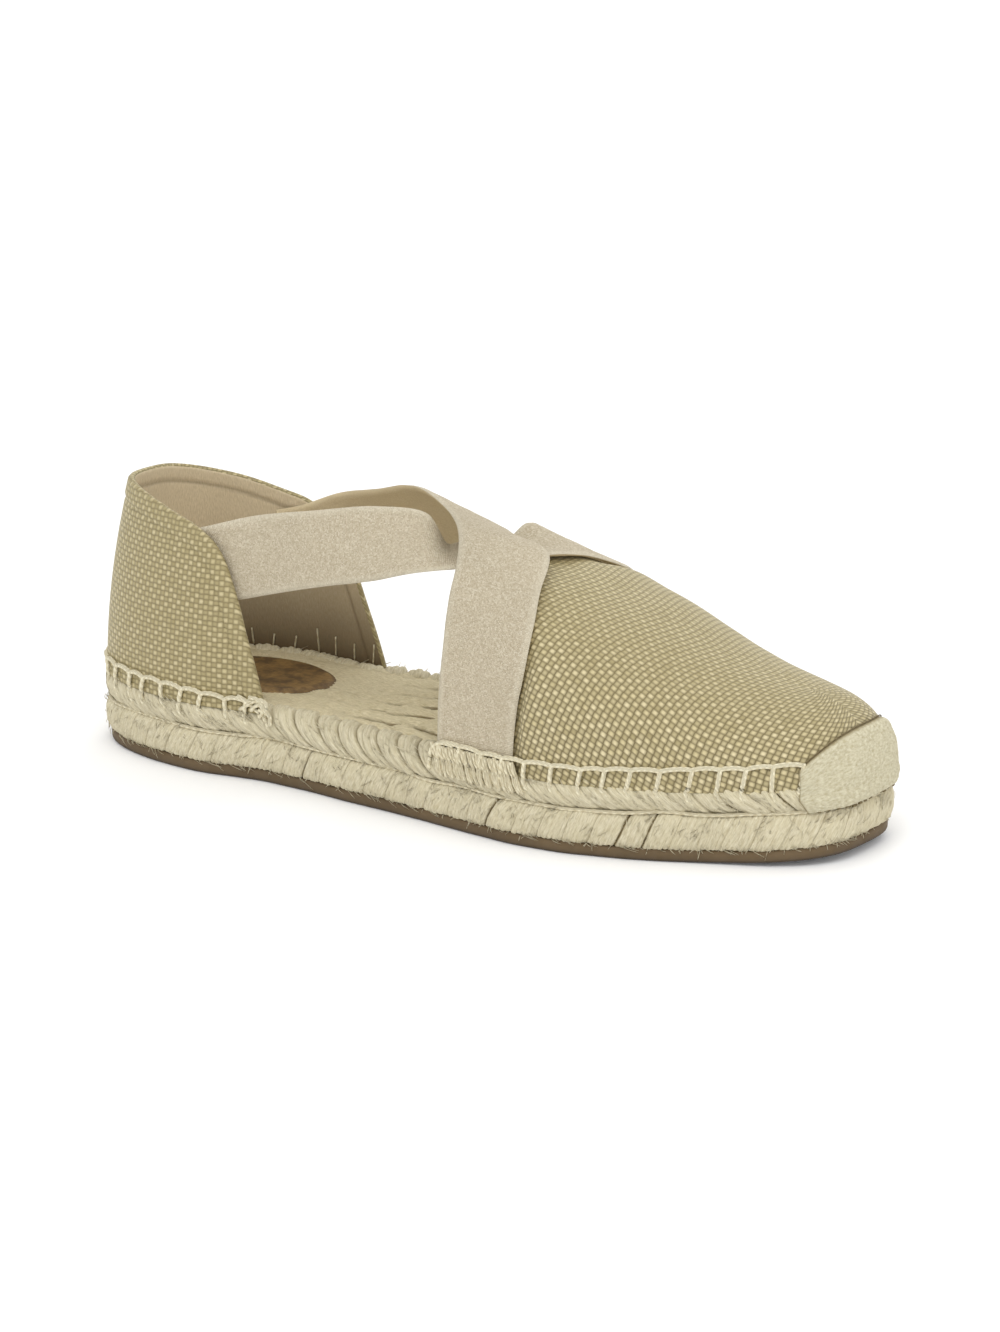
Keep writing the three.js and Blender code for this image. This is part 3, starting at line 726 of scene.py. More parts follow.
def brown_rubber():
    """Brown rubber, with painted shade at its lower edge where tone is 0."""
    n = Nodes("brown_rubber")
    place = n.place()
    grain = n.noise(place, 420.0, 3.0)
    patch = n.noise(place, 26.0, 3.0)
    colour = n.mix(n.ramp(patch, 0.3, 0.7), srgb(88, 71, 45), srgb(103, 84, 56))
    # Painted shade at the lower edge, where tone is low.
    colour = n.mix(n.tone(), srgb(52, 42, 30), colour)
    tread = n.add("ShaderNodeTexVoronoi", {"Vector": place, "Scale": 240.0}, feature="SMOOTH_F1").outputs[0]
    height = n.plus(n.times(grain, 0.5), tread)
    return n.finish(colour, n.ramp(grain, 0.3, 0.7, 0.62, 0.8), n.bump(height, 0.0003, 0.5))


def label_cloth():
    """Brown cloth without print, with darker mottled spots: partly standing in for the print, partly painted
    shadow.
    """
    n = Nodes("label_cloth")
    place = n.place()
    fine = n.noise(place, 700.0, 2.0)
    worn = n.noise(place, 130.0, 4.0, 0.65)
    colour = n.mix(n.ramp(fine, 0.35, 0.7), srgb(118, 92, 50), srgb(146, 116, 68))
    # Dark patches: partly standing in for the print, partly painted shadow from the counter.
    colour = n.mix(n.ramp(worn, 0.42, 0.6, 0, 0.8), colour, srgb(74, 54, 28))
    return n.finish(colour, 0.6, n.bump(fine, 0.0002, 0.5))


GOLD_TOE = gold_weave("gold_toe", TOE_THREAD, 0.0, 0.62, 0.22)
GOLD_HEEL = gold_weave("gold_heel", HEEL_THREAD, 0.2, 0.3, 0.42)
LINING = woven_lining()
ELASTIC = elastic_linen("elastic_linen", 0.0)
# Copy of the elastic with a warmer painted shade tint, for the straps' backs.
ELASTIC_SHADED_BACK = elastic_linen("elastic_painted_shade_back", 0.6)
JUTE_SIDE = jute_fibre("jute_side", srgb(228, 220, 194), srgb(190, 178, 144), (0.4, 2.2, 1))
JUTE_BED = jute_fibre("jute_bed", srgb(238, 227, 194), srgb(198, 184, 142), (0.45, 2.2, 1))
THREAD = plain_thread("cream_thread", srgb(232, 224, 196), srgb(202, 190, 156))
STRAW = plain_thread("straw_strand", srgb(226, 217, 188), srgb(188, 174, 138), 2.6)
# Dark thread for the painted shade round the bumper.
SHADE = plain_thread("painted_shade_thread", srgb(140, 124, 86), srgb(104, 90, 60))
TAPE = jute_tape_weave()
RUBBER = brown_rubber()
LABEL = label_cloth()


# Sole

def rubber_outsole():
    """Rubber sheet with a rounded lower edge and a slightly uneven upper rim."""
    count = 480
    ways = (np.arange(count) + 0.5) / count * PERIMETER
    angles = angle_at(ways)
    levels = [(0, -RUBBER_EDGE), (0.15, -0.55), (0.4, -0.25), (0.8, -0.06), (RUBBER_EDGE, 0),
              (2.4, 0.05), (3.3, 0.0), (3.7, -0.3), (3.8, -1.2), (3.6, -4.0)]
    rings = []
    tones = []
    for up, out in levels:
        x, y = outline(angles, out)
        wave = 0.12 * smooth_noise(ways, 9.0, 3, PERIMETER) if up > 2 else 0
        rings.append(np.stack([x, y, up + wave + lift(x)], -1))
        # tone rises from 0 at the bottom to 1 at 1.6 mm: painted shade on the lower edge.
        tones.append(np.full(count, min(1.0, up / 1.6)))
    points = np.concatenate(rings)
    faces = list(grid_faces(len(levels), count, closed_columns=True, flip=True))
    for i in range(count // 2 - 1):
        faces.append([i, i + 1, count - 2 - i, count - 1 - i])
    piece = new_mesh("rubber_outsole", points, faces, uv=points[:, :2], tone=np.concatenate(tones),
                     materials=[RUBBER])
    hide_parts("outsole")
    return piece


def rounded(phase):
    """Height of a row of round strands: 0 between them and 1 on top."""
    return np.sqrt(np.maximum(0, 1 - (2 * fraction(phase) - 1) ** 2))


def rope_row(name, profile, steps, seed, lean, bend, twist, depths, plies, tufts, waist):
    """A rope row round the sole. Slanting bundles hold plies, and the plies hold fine strands.

    depths are those of the bundles, the plies and the strands. tufts is how ragged the lower edge is, and
    waist how much bolder the strands are between the counter and the toe piece.
    """
    count = 2000
    side = spline(profile, steps)
    length = run_along(side)
    tangent = unit(np.gradient(side, axis=0))
    normal = np.stack([tangent[:, 1], -tangent[:, 0]], -1)
    ways = np.arange(count) / count * PERIMETER
    way, up = np.meshgrid(ways, length, indexing="ij")
    total = length[-1]
    lobes = round(PERIMETER / ROPE_PITCH)
    wander = 1.3 * smooth_noise(way, 12.0, seed, PERIMETER)
    wander = wander + 0.4 * smooth_noise(way, 4.0, seed + 6, PERIMETER)
    place = np.mod(way + lean * up + bend * up * up / total + wander, PERIMETER) / PERIMETER * lobes
    lobe = np.floor(place).astype(int) % lobes
    fan = twist * (up / total - 0.5)
    ply_place = place * plies + fan
    ply = np.floor(ply_place).astype(int)
    strand_place = ply_place * 2 + 0.5 * fan + 0.3 * smooth_noise(up + way, 2.5, seed + 7)
    strand = np.floor(strand_place).astype(int)
    lobe_round = rounded(place) ** 0.7
    ply_round = rounded(ply_place) * lobe_value(ply, seed + 2, 0.55, 1.1)
    strand_round = rounded(strand_place) * lobe_value(strand, seed + 3, 0.4, 1.1)
    ends = np.clip(np.minimum(up, total - up) / 1.4, 0, 1) ** 0.6
    rough = 0.5 * smooth_noise(way * 1.7 + up, 1.1, seed + 4)
    rough = rough + 0.5 * smooth_noise(way + 2.3 * up, 1.9, seed + 8)
    size = lobe_value(lobe, seed + 1, 0.7, 1.15)
    angles = angle_at(ways)
    share = share_at(angles)
    bold = 1 + waist * (smooth_step((share - 0.28) / 0.04) * smooth_step((0.54 - share) / 0.03))[:, None]
    lobe_depth, ply_depth, strand_depth = depths
    height = lobe_depth * (size * lobe_round - 0.6) + ply_depth * (ply_round - 0.6)
    height = bold * (height + strand_depth * (strand_round - 0.5)) * ends + 0.14 * rough
    open_slit = lobe_value(lobe, seed + 9, 0, 1) > 0.86
    slit = open_slit * bell((fraction(place) - 0.02) * ROPE_PITCH, 0, 0.45) * ends
    height = height - 0.7 * slit
    out = side[None, :, 0] + normal[None, :, 0] * height
    high = side[None, :, 1] + normal[None, :, 1] * height
    x, y = outline(angles[:, None], out)
    rag = 0.5 * smooth_noise(way, 1.0, seed + 5, PERIMETER)
    rag = rag + 0.5 * smooth_noise(way, 3.1, seed + 10, PERIMETER)
    ragged = tufts * rag * np.clip(1 - up / 1.4, 0, 1)
    raised = padding(x, y) * np.clip((high - RUBBER_THICKNESS) / 9, 0, 1)
    points = np.stack([x, y, high + ragged + raised + lift(x)], -1)
    # Painted shade: tone darkens the crevices between bundles, plies and strands, the slits and the row's
    # ends, more where the strands are bolder.
    tone = 0.05 + 0.45 * lobe_round * size + 0.4 * ply_round + 0.2 * strand_round - 0.4 * (1 - ends) - slit
    tone = tone - 0.3 * (bold - 1) * (1 - ply_round)
    uv = np.stack([up, place * PERIMETER / lobes], -1)
    piece = new_mesh(name, points.reshape(-1, 3), grid_faces(count, steps, closed_rows=True),
                     uv=uv.reshape(-1, 2), tone=np.clip(tone, 0, 1).ravel(), materials=[JUTE_SIDE])
    return piece


def insole_bed():
    """Top of the sole inside the edge: wavy lengthwise rows of braid, worn flat under the heel."""
    stations, columns = 420, 150
    shares = np.clip(share_at(np.linspace(math.pi, 0, stations)), 0.0006, 0.9994)
    near_x, near_y = outline(-angle_of_share(shares), -BED_INSET)
    far_x, far_y = outline(angle_of_share(shares), -BED_INSET)
    across = np.linspace(0, 1, columns)
    x = near_x[:, None] + (far_x - near_x)[:, None] * across
    y = near_y[:, None] + (far_y - near_y)[:, None] * across
    wave = 0.3 * smooth_noise(x + 9 * across, 6.0, 21) + 0.12 * smooth_noise(x + 40 * across, 3.0, 22)
    row = across * BRAID_ROWS + wave
    within = fraction(row)
    index = np.floor(row).astype(int)
    ridge = 0.5 - 0.5 * np.cos(2 * math.pi * row)
    bundle = x / BRAID_PITCH + within * 1.1 * np.where(index % 2 == 0, 1, -1) + 0.5 * index
    braid = rounded(bundle)
    strand = rounded(bundle * 3 + within)
    broken = 0.55 + 0.45 * smooth_noise(x + 57 * index, 7.0, 24)
    worn = np.clip((share_of(x) - 0.3) / 0.14, 0.18, 1)
    height = worn * (2.2 * broken * (ridge - 0.8) + 0.7 * (braid - 0.7) + 0.2 * (strand - 0.5))
    height = height + 0.15 * smooth_noise(x * 2 + 31 * y, 1.7, 23)
    z = BED + 0.3 + height + lift(x)
    # Painted shade in the crevices between the rows and the braid, less where the braid is worn flat.
    dark = np.clip((0.42 - ridge) / 0.3, 0, 1) * np.clip(1.5 * broken - 0.2, 0, 1)
    tone = np.clip(1 - worn * (0.95 * dark + 0.3 * (1 - braid) + 0.15 * (1 - strand)), 0, 1)
    points = np.stack([x, y, z], -1).reshape(-1, 3)
    uv = np.stack([x, y + 3 * within], -1).reshape(-1, 2)
    piece = new_mesh("insole_bed", points, grid_faces(stations, columns), uv=uv, tone=tone.ravel(),
                     materials=[JUTE_BED])
    return piece


# Upper

def rounded_rim(outer, inner, lift_by):
    """Points between an outer and an inner rim that close them with a soft round edge."""
    middle = (outer + inner) / 2
    first = outer * 0.75 + inner * 0.25 + lift_by * 0.75
    last = outer * 0.25 + inner * 0.75 + lift_by * 0.75
    return np.stack([first, middle + lift_by, last], 1)


def rest_under(points, straps):
    """Moves that take the points to just below the straps over them, fading out beside each strap.

    A strap's normal is turned so that it points away from the middle of the foot.
    """
    reach, fade_width = 9.0, 5.0
    foot_middle = np.array([5.0, 30.0])
    moved = points.reshape(-1, 3).copy()
    for tree in straps:
        for number, point in enumerate(moved):
            place, normal, _, distance = tree.find_nearest(Vector(point))
            if distance > reach:
                continue
            normal = np.array(normal)
            place = np.array(place)
            if normal[1:] @ (place[1:] - foot_middle) < 0:
                normal = -normal
            height = (point - place) @ normal
            beside = math.sqrt(max(0.0, distance * distance - height * height))
            fade = max(0.0, 1 - beside / fade_width)
            push = max(0.0, height + STRAP / 2 + STRAP_PRESS) * smooth_step(fade)
            moved[number] = point - normal * push
    moves = moved.reshape(points.shape) - points
    for _ in range(3):
        padded = np.pad(moves, ((1, 1), (1, 1), (0, 0)), mode="edge")
        around = padded[:-2, 1:-1] + padded[2:, 1:-1] + padded[1:-1, :-2] + padded[1:-1, 2:]
        moves = 0.5 * moves + 0.125 * around
    return moves


def toe_vamp(straps):
    """Toe piece: one cloth shell with a lining, pressed in under the straps."""
    stations, section = 150, 61
    turn = np.linspace(0, 1, section)
    sides = np.concatenate([-np.ones(section), np.ones(section - 1)])
    turns = np.concatenate([turn, turn[:-1][::-1]])

    def face(inset):
        start = np.full(len(turns), 0.6)
        for _ in range(6):
            point = vamp_point(start, sides, turns, inset)
            start = throat_at(np.abs(point[:, 1]) / HALF_BALL)
        spread = np.linspace(0, 1, stations)[:, None]
        low = angle_of_share(start)[None, :]
        return vamp_point(share_at(low * (1 - spread)), sides[None, :], turns[None, :], inset)

    columns = len(turns)
    outer = face(0.0)
    moves = rest_under(outer, straps)
    outer = outer + moves
    inner = face(TOE_LINING) + moves
    across = run_along(outer, 1)
    across = across - across[:, section - 1:section]
    along = run_along(outer, 0)
    start = along_x(CLOTH_START)
    along = along - [np.interp(start, outer[:, j, 0], along[:, j]) for j in range(columns)]
    drape = np.sqrt(across ** 2 + TOE_THREAD_BEND ** 2) - TOE_THREAD_BEND
    cloth = np.stack([across, along + TOE_THREAD_LEAN * drape], -1)

    rim = rounded_rim(outer[0], inner[0], unit(outer[0] - outer[1]) * 0.5)
    everything = np.concatenate([outer.reshape(-1, 3), rim.transpose(1, 0, 2).reshape(-1, 3),
                                 inner.reshape(-1, 3)])
    rim_cloth = np.repeat(cloth[:1], 3, axis=0)
    uv = np.concatenate([cloth.reshape(-1, 2), rim_cloth.reshape(-1, 2), cloth.reshape(-1, 2)])
    faces = list(grid_faces(stations, columns, flip=True))
    start_rim = stations * columns
    start_inner = start_rim + 3 * columns
    strips = [0, start_rim, start_rim + columns, start_rim + 2 * columns, start_inner]
    faces += joining_faces([np.arange(first, first + columns) for first in strips])
    kinds = [0] * len(faces)
    inner_faces = list(grid_faces(stations, columns, offset=start_inner))
    faces += inner_faces
    kinds += [1] * len(inner_faces)
    # Painted highlight of the gold weave: full low on the sides, flatter towards the crest.
    tone = np.clip(1.25 - 1.5 * turns, 0.12, 1)
    # The lining inside the toe gets a fixed share of the lining's painted shade.
    tone = np.concatenate([np.tile(tone, stations), np.tile(tone, 3), np.full(inner.size // 3, 0.6)])
    piece = new_mesh("toe_vamp", everything, faces, uv=uv, tone=tone,
                     materials=[GOLD_TOE, LINING], face_materials=kinds)
    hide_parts("vamp")
    return piece


def counter_top(angles):
    """Height of the counter's edge at each angle, as a share of the rise."""
    edge = COUNTER_EDGE + [(0.289, -0.1)]
    rows = sorted((along_x(at), CLOTH_FOOT + up * COUNTER_RISE) for at, up in edge)
    edge_x, edge_z = spline(rows, 160).T
    low = np.zeros_like(angles)
    high = np.full_like(angles, 1.08)
    for _ in range(30):
        middle = (low + high) / 2
        x, y, z = counter_point(angles, middle, 0.0).T
        below = z + COLLAR_TILT * y < np.interp(x - COUNTER_SKEW * y, edge_x, edge_z)
        low = np.where(below, middle, low)
        high = np.where(below, high, middle)
    return low


def counter_front(side):
    """Distance round the edge at which the counter's front edge meets its foot."""
    ways = way_of(side * angle_of_share(np.linspace(0.2, 0.36, 321)))
    return float(np.interp(-0.001, -counter_top(angle_at(ways)), ways))


def heel_counter():
    """Heel piece: cloth outside with a folded hem, lining inside with a seam, and a rounded rim."""
    fine, levels = 150, 72
    first, last = counter_front(1), counter_front(-1)
    ends = np.cumsum(np.linspace(0.15, 1.6, fine // 2))
    ends = ends / ends[-1] * 45
    middle = np.linspace(first + 46.2, last - 46.2, fine)
    ways = np.concatenate([[first + 0.02], first + ends, middle, (last - ends)[::-1], [last - 0.02]])
    angles = angle_at(ways)
    tops = counter_top(angles)
    share = np.linspace(0, 1, levels)[None, :]
    up = tops[:, None] * share
    way_grid = np.broadcast_to(ways[:, None], up.shape)
    height = up * COUNTER_RISE
    rim_line = np.stack([ways, tops * COUNTER_RISE], -1)
    cells = np.stack([way_grid, height], -1).reshape(-1, 1, 2)
    inside = np.sqrt(((cells - rim_line[None]) ** 2).sum(-1).min(1)).reshape(up.shape)
    hem = 0.35 * np.clip((HEM - inside) / 0.9, 0, 1) - 0.3 * bell(inside, HEM + 0.4, 0.5)
    seam = 0.2 * np.clip((LINING_SEAM - inside) / 0.8, 0, 1) - 0.2 * bell(inside, LINING_SEAM + 0.4, 0.5)
    ripple = 0.25 * smooth_noise(way_grid + 0.3 * height, 11.0, 71)
    outer = counter_point(angles[:, None], up, -hem - ripple)
    inner = counter_point(angles[:, None], up, HEEL_LINING + seam - ripple)
    away = np.cross(unit(np.gradient(outer[:, -1], axis=0)), unit(outer[:, -1] - inner[:, -1]))
    away *= np.where(away[:, 2:3] < 0, -1, 1)
    rim = rounded_rim(outer[:, -1], inner[:, -1], away * 0.7)
    count = len(ways)
    points = np.concatenate([outer.reshape(-1, 3), rim.reshape(-1, 3), inner.reshape(-1, 3)])
    cloth = np.stack([way_grid, height], -1).reshape(-1, 2)
    rim_height = np.repeat(height[:, -1], 3) + np.tile([0.5, 1.0, 1.5], count)
    rim_uv = np.stack([np.repeat(ways, 3), rim_height], -1)
    faces = list(grid_faces(count, levels))
    start_rim = count * levels
    start_inner = start_rim + 3 * count
    top = np.arange(count) * levels + levels - 1
    between = start_rim + np.arange(3 * count).reshape(count, 3)
    faces += joining_faces(np.column_stack([top, between, start_inner + top]))
    kinds = [0] * len(faces)
    inner_faces = list(grid_faces(count, levels, offset=start_inner, flip=True))
    faces += inner_faces
    kinds += [1] * len(inner_faces)
    # Painted highlight of the gold weave: three quarters of it on the counter's cloth, less near the rim and
    # on the rim.
    outer_tone = np.clip(0.75 - 0.3 * np.clip((5 - inside) / 2, 0, 1), 0, 1)
    # Painted shade on the lining: darker towards the sole, and also darker along the groove under the seam.
    inner_tone = np.clip(height / 34, 0, 1) * (1 - 0.4 * bell(inside, LINING_SEAM + 0.4, 0.6))
    tone = np.concatenate([outer_tone.ravel(), np.full(3 * count, 0.4), inner_tone.ravel()])
    piece = new_mesh("heel_cloth", points, faces, uv=np.concatenate([cloth, rim_uv, cloth]), tone=tone,
                     materials=[GOLD_HEEL, LINING], face_materials=kinds)
    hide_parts("heel_counter")
    return piece


def strap_middle(table, ends, side, steps, columns):
    """Middle surface of a strap as a grid of points, rear edge first."""
    rear, front = (spline(points, steps) for points in strap_edges(table, ends, side))
    share = np.linspace(0, 1, columns)[None, :, None]
    return rear[:, None] * (1 - share) + front[:, None] * share


def elastic_strap(name, node, table, ends, side):
    """Elastic strap with rounded edges."""
    steps, columns = 170, 21
    middle = strap_middle(table, ends, side, steps, columns)
    normals = grid_normals(middle)
    share = np.linspace(-1, 1, columns)
    thick = STRAP / 2 * np.sqrt(np.maximum(0, 1 - np.abs(share) ** 10)) + 0.02
    thick = thick + 0.12 * bell(np.abs(share), 0.93, 0.05)
    run = run_along(middle[:, columns // 2])
    ripple = 0.1 * smooth_noise(run[:, None] + 31 * share[None, :], 6.0, 81)
    top = middle + normals * (thick[None, :] + ripple)[..., None]
    under = middle - normals * (thick[None, :] - ripple)[..., None]
    ring = np.concatenate([top, under[:, ::-1]], 1)
    width = np.linalg.norm(middle[:, -1] - middle[:, 0], axis=1)
    across = np.concatenate([share, share[::-1] + 0.4]) * 0.5
    uv = np.stack(np.broadcast_arrays(run[:, None], across[None, :] * width.mean()), -1)
    edge = np.clip((np.abs(np.concatenate([share, share[::-1]])) - 0.86) / 0.08, 0, 1)
    faces = list(grid_faces(steps, 2 * columns, closed_columns=True))
    # Faces on the strap's back take the copy with the painted shade tint.
    inner = (np.arange(2 * columns) >= columns) == (side > 0)
    kinds = np.tile(inner, steps - 1).astype(int).tolist()
    for end in (0, steps - 1):
        base = end * 2 * columns
        for j in range(columns - 1):
            quad = [base + j, base + j + 1, base + 2 * columns - 2 - j, base + 2 * columns - 1 - j]
            faces.append(quad if end else quad[::-1])
            kinds.append(0)
    piece = new_mesh(name, ring.reshape(-1, 3), faces, uv=uv.reshape(-1, 2), tone=np.tile(edge, steps),
                     materials=[ELASTIC, ELASTIC_SHADED_BACK], face_materials=kinds)
    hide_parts(node)
    return piece


def strap_tree(table, ends, side):
    """A coarse strap's middle surface, to look for its nearest place."""
    steps, columns = 90, 9
    middle = strap_middle(table, ends, side, steps, columns)
    return BVHTree.FromPolygons(middle.reshape(-1, 3).tolist(), grid_faces(steps, columns).tolist())


def bumper_top(way):
    """Height of the bumper's top edge at a distance from the toe."""
    share = (way - BUMPER_MIDDLE) / BUMPER_SPAN
    return BUMPER_MIDDLE_TOP - (BUMPER_MIDDLE_TOP - BUMPER_END_TOP) * abs(share) ** 3


def bumper_spot(way, level, push):
    """Points over the toe at a distance from it, from the crease at level 0 to the top edge at level 1."""
    way, level = np.broadcast_arrays(np.asarray(way, float), np.asarray(level, float))
    share_out = (way - BUMPER_MIDDLE) / BUMPER_SPAN
    way = BUMPER_MIDDLE + share_out * (BUMPER_SPAN - 2.6 * np.clip(1 - 3 * level, 0, 1))
    angles = angle_at(way)
    x0, y0 = outline_at(angles)
    nx, ny = outward(angles)
    foot = BUMPER_FOOT + lift(x0)
    z = foot + (bumper_top(way) - foot) * level
    sides = np.where(angles > math.pi, -1.0, 1.0)
    share = share_at(angles)
    cloth = vamp_point(share, sides, vamp_turn_at(share, sides, z, 0.0), -0.4)
    cloth_out = (cloth[..., 0] - x0) * nx + (cloth[..., 1] - y0) * ny
    rest = z - lift(x0)
    rope = out_at(UPPER_ROW[1:5], rest) + 0.5
    blend = smooth_step((rest - CLOTH_FOOT + 1.0) / 4.0)
    out = rope * (1 - blend) + cloth_out * blend + push
    return np.stack([x0 + nx * out, y0 + ny * out, z], -1)


def toe_bumper():
    """Woven jute tape round the toe with soft edges."""
    count, levels = 130, 46
    span = np.linspace(-1, 1, count)
    ways = BUMPER_MIDDLE + BUMPER_SPAN * span
    steps = np.linspace(0, 1, levels)
    edge = np.clip(np.minimum(steps, 1 - steps) * 15, 0, 1)[None, :]
    edge = edge * np.clip((1 - np.abs(span)) * 18, 0, 1)[:, None]
    soft = np.sqrt(1 - (1 - edge) ** 2)
    way_grid, level_grid = np.meshgrid(ways, steps, indexing="ij")
    bumps = 0.16 * smooth_noise(way_grid * 1.3 + 23 * level_grid, 1.2, 41)
    bumps = bumps + 0.14 * smooth_noise(19 * level_grid - way_grid * 0.7, 1.6, 42)
    outer = bumper_spot(way_grid, level_grid, (BUMPER_THICKNESS - 0.5) * (0.1 + 0.9 * soft) + bumps * soft)
    inner = bumper_spot(way_grid, level_grid, -0.5)
    uv = np.stack([way_grid, level_grid * 22], -1).reshape(-1, 2)
    points = np.concatenate([outer.reshape(-1, 3), inner.reshape(-1, 3)])
    faces = list(grid_faces(count, levels))
    back = count * levels
    faces += list(grid_faces(count, levels, offset=back, flip=True))
    for i in range(count - 1):
        for j in (0, levels - 1):
            quad = [i * levels + j, (i + 1) * levels + j, back + (i + 1) * levels + j, back + i * levels + j]
            faces.append(quad if j else quad[::-1])
    for j in range(levels - 1):
        for i in (0, count - 1):
            quad = [i * levels + j, i * levels + j + 1, back + i * levels + j + 1, back + i * levels + j]
            faces.append(quad[::-1] if i else quad)
    # tone falls at the tape's edges and is 0 on its back: painted shade.
    tone = np.concatenate([soft.ravel(), np.zeros(count * levels)])
    piece = new_mesh("toe_tape", points, faces, uv=np.concatenate([uv, uv]), tone=tone, materials=[TAPE])
    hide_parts("toe_bumper")
    return piece


def bumper_shade_threads():
    """Dark threads that paint the shade round the bumper: a line along its top edge and short dots in the
    groove along its foot.
    """
    chance = np.random.default_rng(91)
    span = np.linspace(-0.985, 0.985, 160)
    path = bumper_spot(BUMPER_MIDDLE + BUMPER_SPAN * span, np.ones(160), 0.1)
    path[:, 2] += 0.35
    paths = [path]
    radii = [0.2]
    way = BUMPER_MIDDLE - BUMPER_SPAN + 3.0
    while way < BUMPER_MIDDLE + BUMPER_SPAN - 3.0:
        length = chance.uniform(0.6, 2.0)
        steps = np.linspace(way, way + length, 5)
        dots = bumper_spot(steps, np.full(5, chance.uniform(0.0, 0.05)), 1.0)
        dots[:, 2] -= 0.2
        paths.append(dots)
        radii.append(chance.uniform(0.22, 0.42))
        way += length + chance.uniform(0.5, 2.4)
    piece = threads("bumper_shade_threads", paths, radii, SHADE, 6)
    return piece


def heel_label():
    """Plain oval patch on the bed, thicker at its turned edge."""
    rings, count = 10, 96
    turns = np.linspace(0, 2 * math.pi, count, endpoint=False)
    points = [(along_x(LABEL_MIDDLE), 0, LABEL_TOP)]
    for ring in range(1, rings + 1):
        share = ring / rings
        z = LABEL_TOP + (0.25 if ring == rings - 1 else 0) - (0.9 if ring == rings else 0)
        for turn in turns:
            points.append((along_x(LABEL_MIDDLE) + LABEL_LENGTH / 2 * share * math.cos(turn),
                           LABEL_WIDTH / 2 * share * math.sin(turn), z))
    faces = [[0, 1 + i, 1 + (i + 1) % count] for i in range(count)]
    faces += list(grid_faces(rings, count, closed_columns=True, offset=1))
    piece = new_mesh("heel_patch", points, faces, uv=np.array(points)[:, :2], materials=[LABEL])
    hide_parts("heel_label")
    return piece


# Stitching

def edge_spot(way, z, out):
    """A point on the shoe's side at a distance round the edge and a height: on the rope or on the cloth."""
    angle = angle_at(np.asarray(way, float))
    share = share_at(angle)
    side = np.where(angle < math.pi, 1.0, -1.0)
    x0, y0 = outline_at(angle)
    rope_x, rope_y = outline(angle, out_at(UPPER_ROW[:6], z) + out)
    rope_point = np.stack([rope_x, rope_y, z + lift(x0) + padding(x0, y0)], -1)
    toe = vamp_point(share, side, vamp_turn_at(share, side, z + lift(x0), 0.0), -out)
    heel = counter_point(angle, (z - CLOTH_FOOT) / COUNTER_RISE, -out)
    cloth = np.where((share > 0.5)[..., None], toe, heel)
    blend = np.clip((z - 20.2) / 1.8, 0, 1)[..., None]
    return rope_point * (1 - blend) + cloth * blend


def side_path(rows, samples=16, out=0.5):
    """A thread along rows of (distance round the edge, height), lying on the side."""
    rows = np.asarray(rows, float)
    flat = spline(np.concatenate([rows, np.zeros((len(rows), 1))], 1), samples)
    lies = np.full(samples, out)
    return edge_spot(flat[:, 0], flat[:, 1], lies)


def blanket_stitch(first, last, pitch, seed, arch):
    """Blanket stitches from one place round the edge to another: a scalloped line with slanting legs."""
    chance = np.random.default_rng(seed)
    count = max(2, round(abs(last - first) / pitch))
    ways = np.linspace(first, last, count + 1)
    ways[1:-1] += chance.uniform(-0.09, 0.09, count - 1) * pitch
    heights = stitch_height(ways) - arch / 2 + chance.uniform(-0.3, 0.3, count + 1)
    line = []
    for k in range(count):
        for t in np.linspace(0, 1, 9, endpoint=False):
            rise = arch * math.sin(math.pi * t) ** 0.7
            way = ways[k] + (ways[k + 1] - ways[k]) * t
            line.append((way, heights[k] * (1 - t) + heights[k + 1] * t + rise))
    line.append((ways[-1], heights[-1]))
    line = np.array(line)
    paths = [edge_spot(line[:, 0], line[:, 1], np.full(len(line), 0.62))]
    for k in range(count + 1):
        lean = chance.uniform(-1.5, 0.3)
        depth = chance.uniform(15.2, 18.2)
        start = heights[k] + 0.5
        rows = [(ways[k] + 0.25, start), (ways[k] + lean * 0.5, 22.6), (ways[k] + lean, 20.2),
                (ways[k] + lean + chance.uniform(0.2, 1.0), (20.4 + depth) / 2),
                (ways[k] + lean + chance.uniform(1.0, 3.4), depth)]
        sink = np.clip(np.linspace(-1.0, 1, 18), 0, 1)
        paths.append(side_path(rows, 18, 0.6 - 1.3 * sink))
    return paths


def stitching():
    """All blanket stitches: round the heel counter and round the toe piece, on both sides."""
    near_start = PERIMETER - way_of(angle_of_share(NEAR_STITCH_START))
    far_start = way_of(angle_of_share(FAR_STITCH_START))
    bumper_near = PERIMETER + BUMPER_MIDDLE - BUMPER_SPAN
    bumper_far = BUMPER_MIDDLE + BUMPER_SPAN
    paths = blanket_stitch(counter_front(1) + 5.0, counter_front(-1) + 1.5, HEEL_STITCH_PITCH, 51, 0.8)
    paths += blanket_stitch(near_start, bumper_near + 1.0, STITCH_PITCH, 52, 0.5)
    paths += blanket_stitch(bumper_far - 1.0, far_start, STITCH_PITCH, 53, 0.5)
    piece = threads("blanket_stitch", paths, STITCH_RADIUS, THREAD, 7)
    return piece


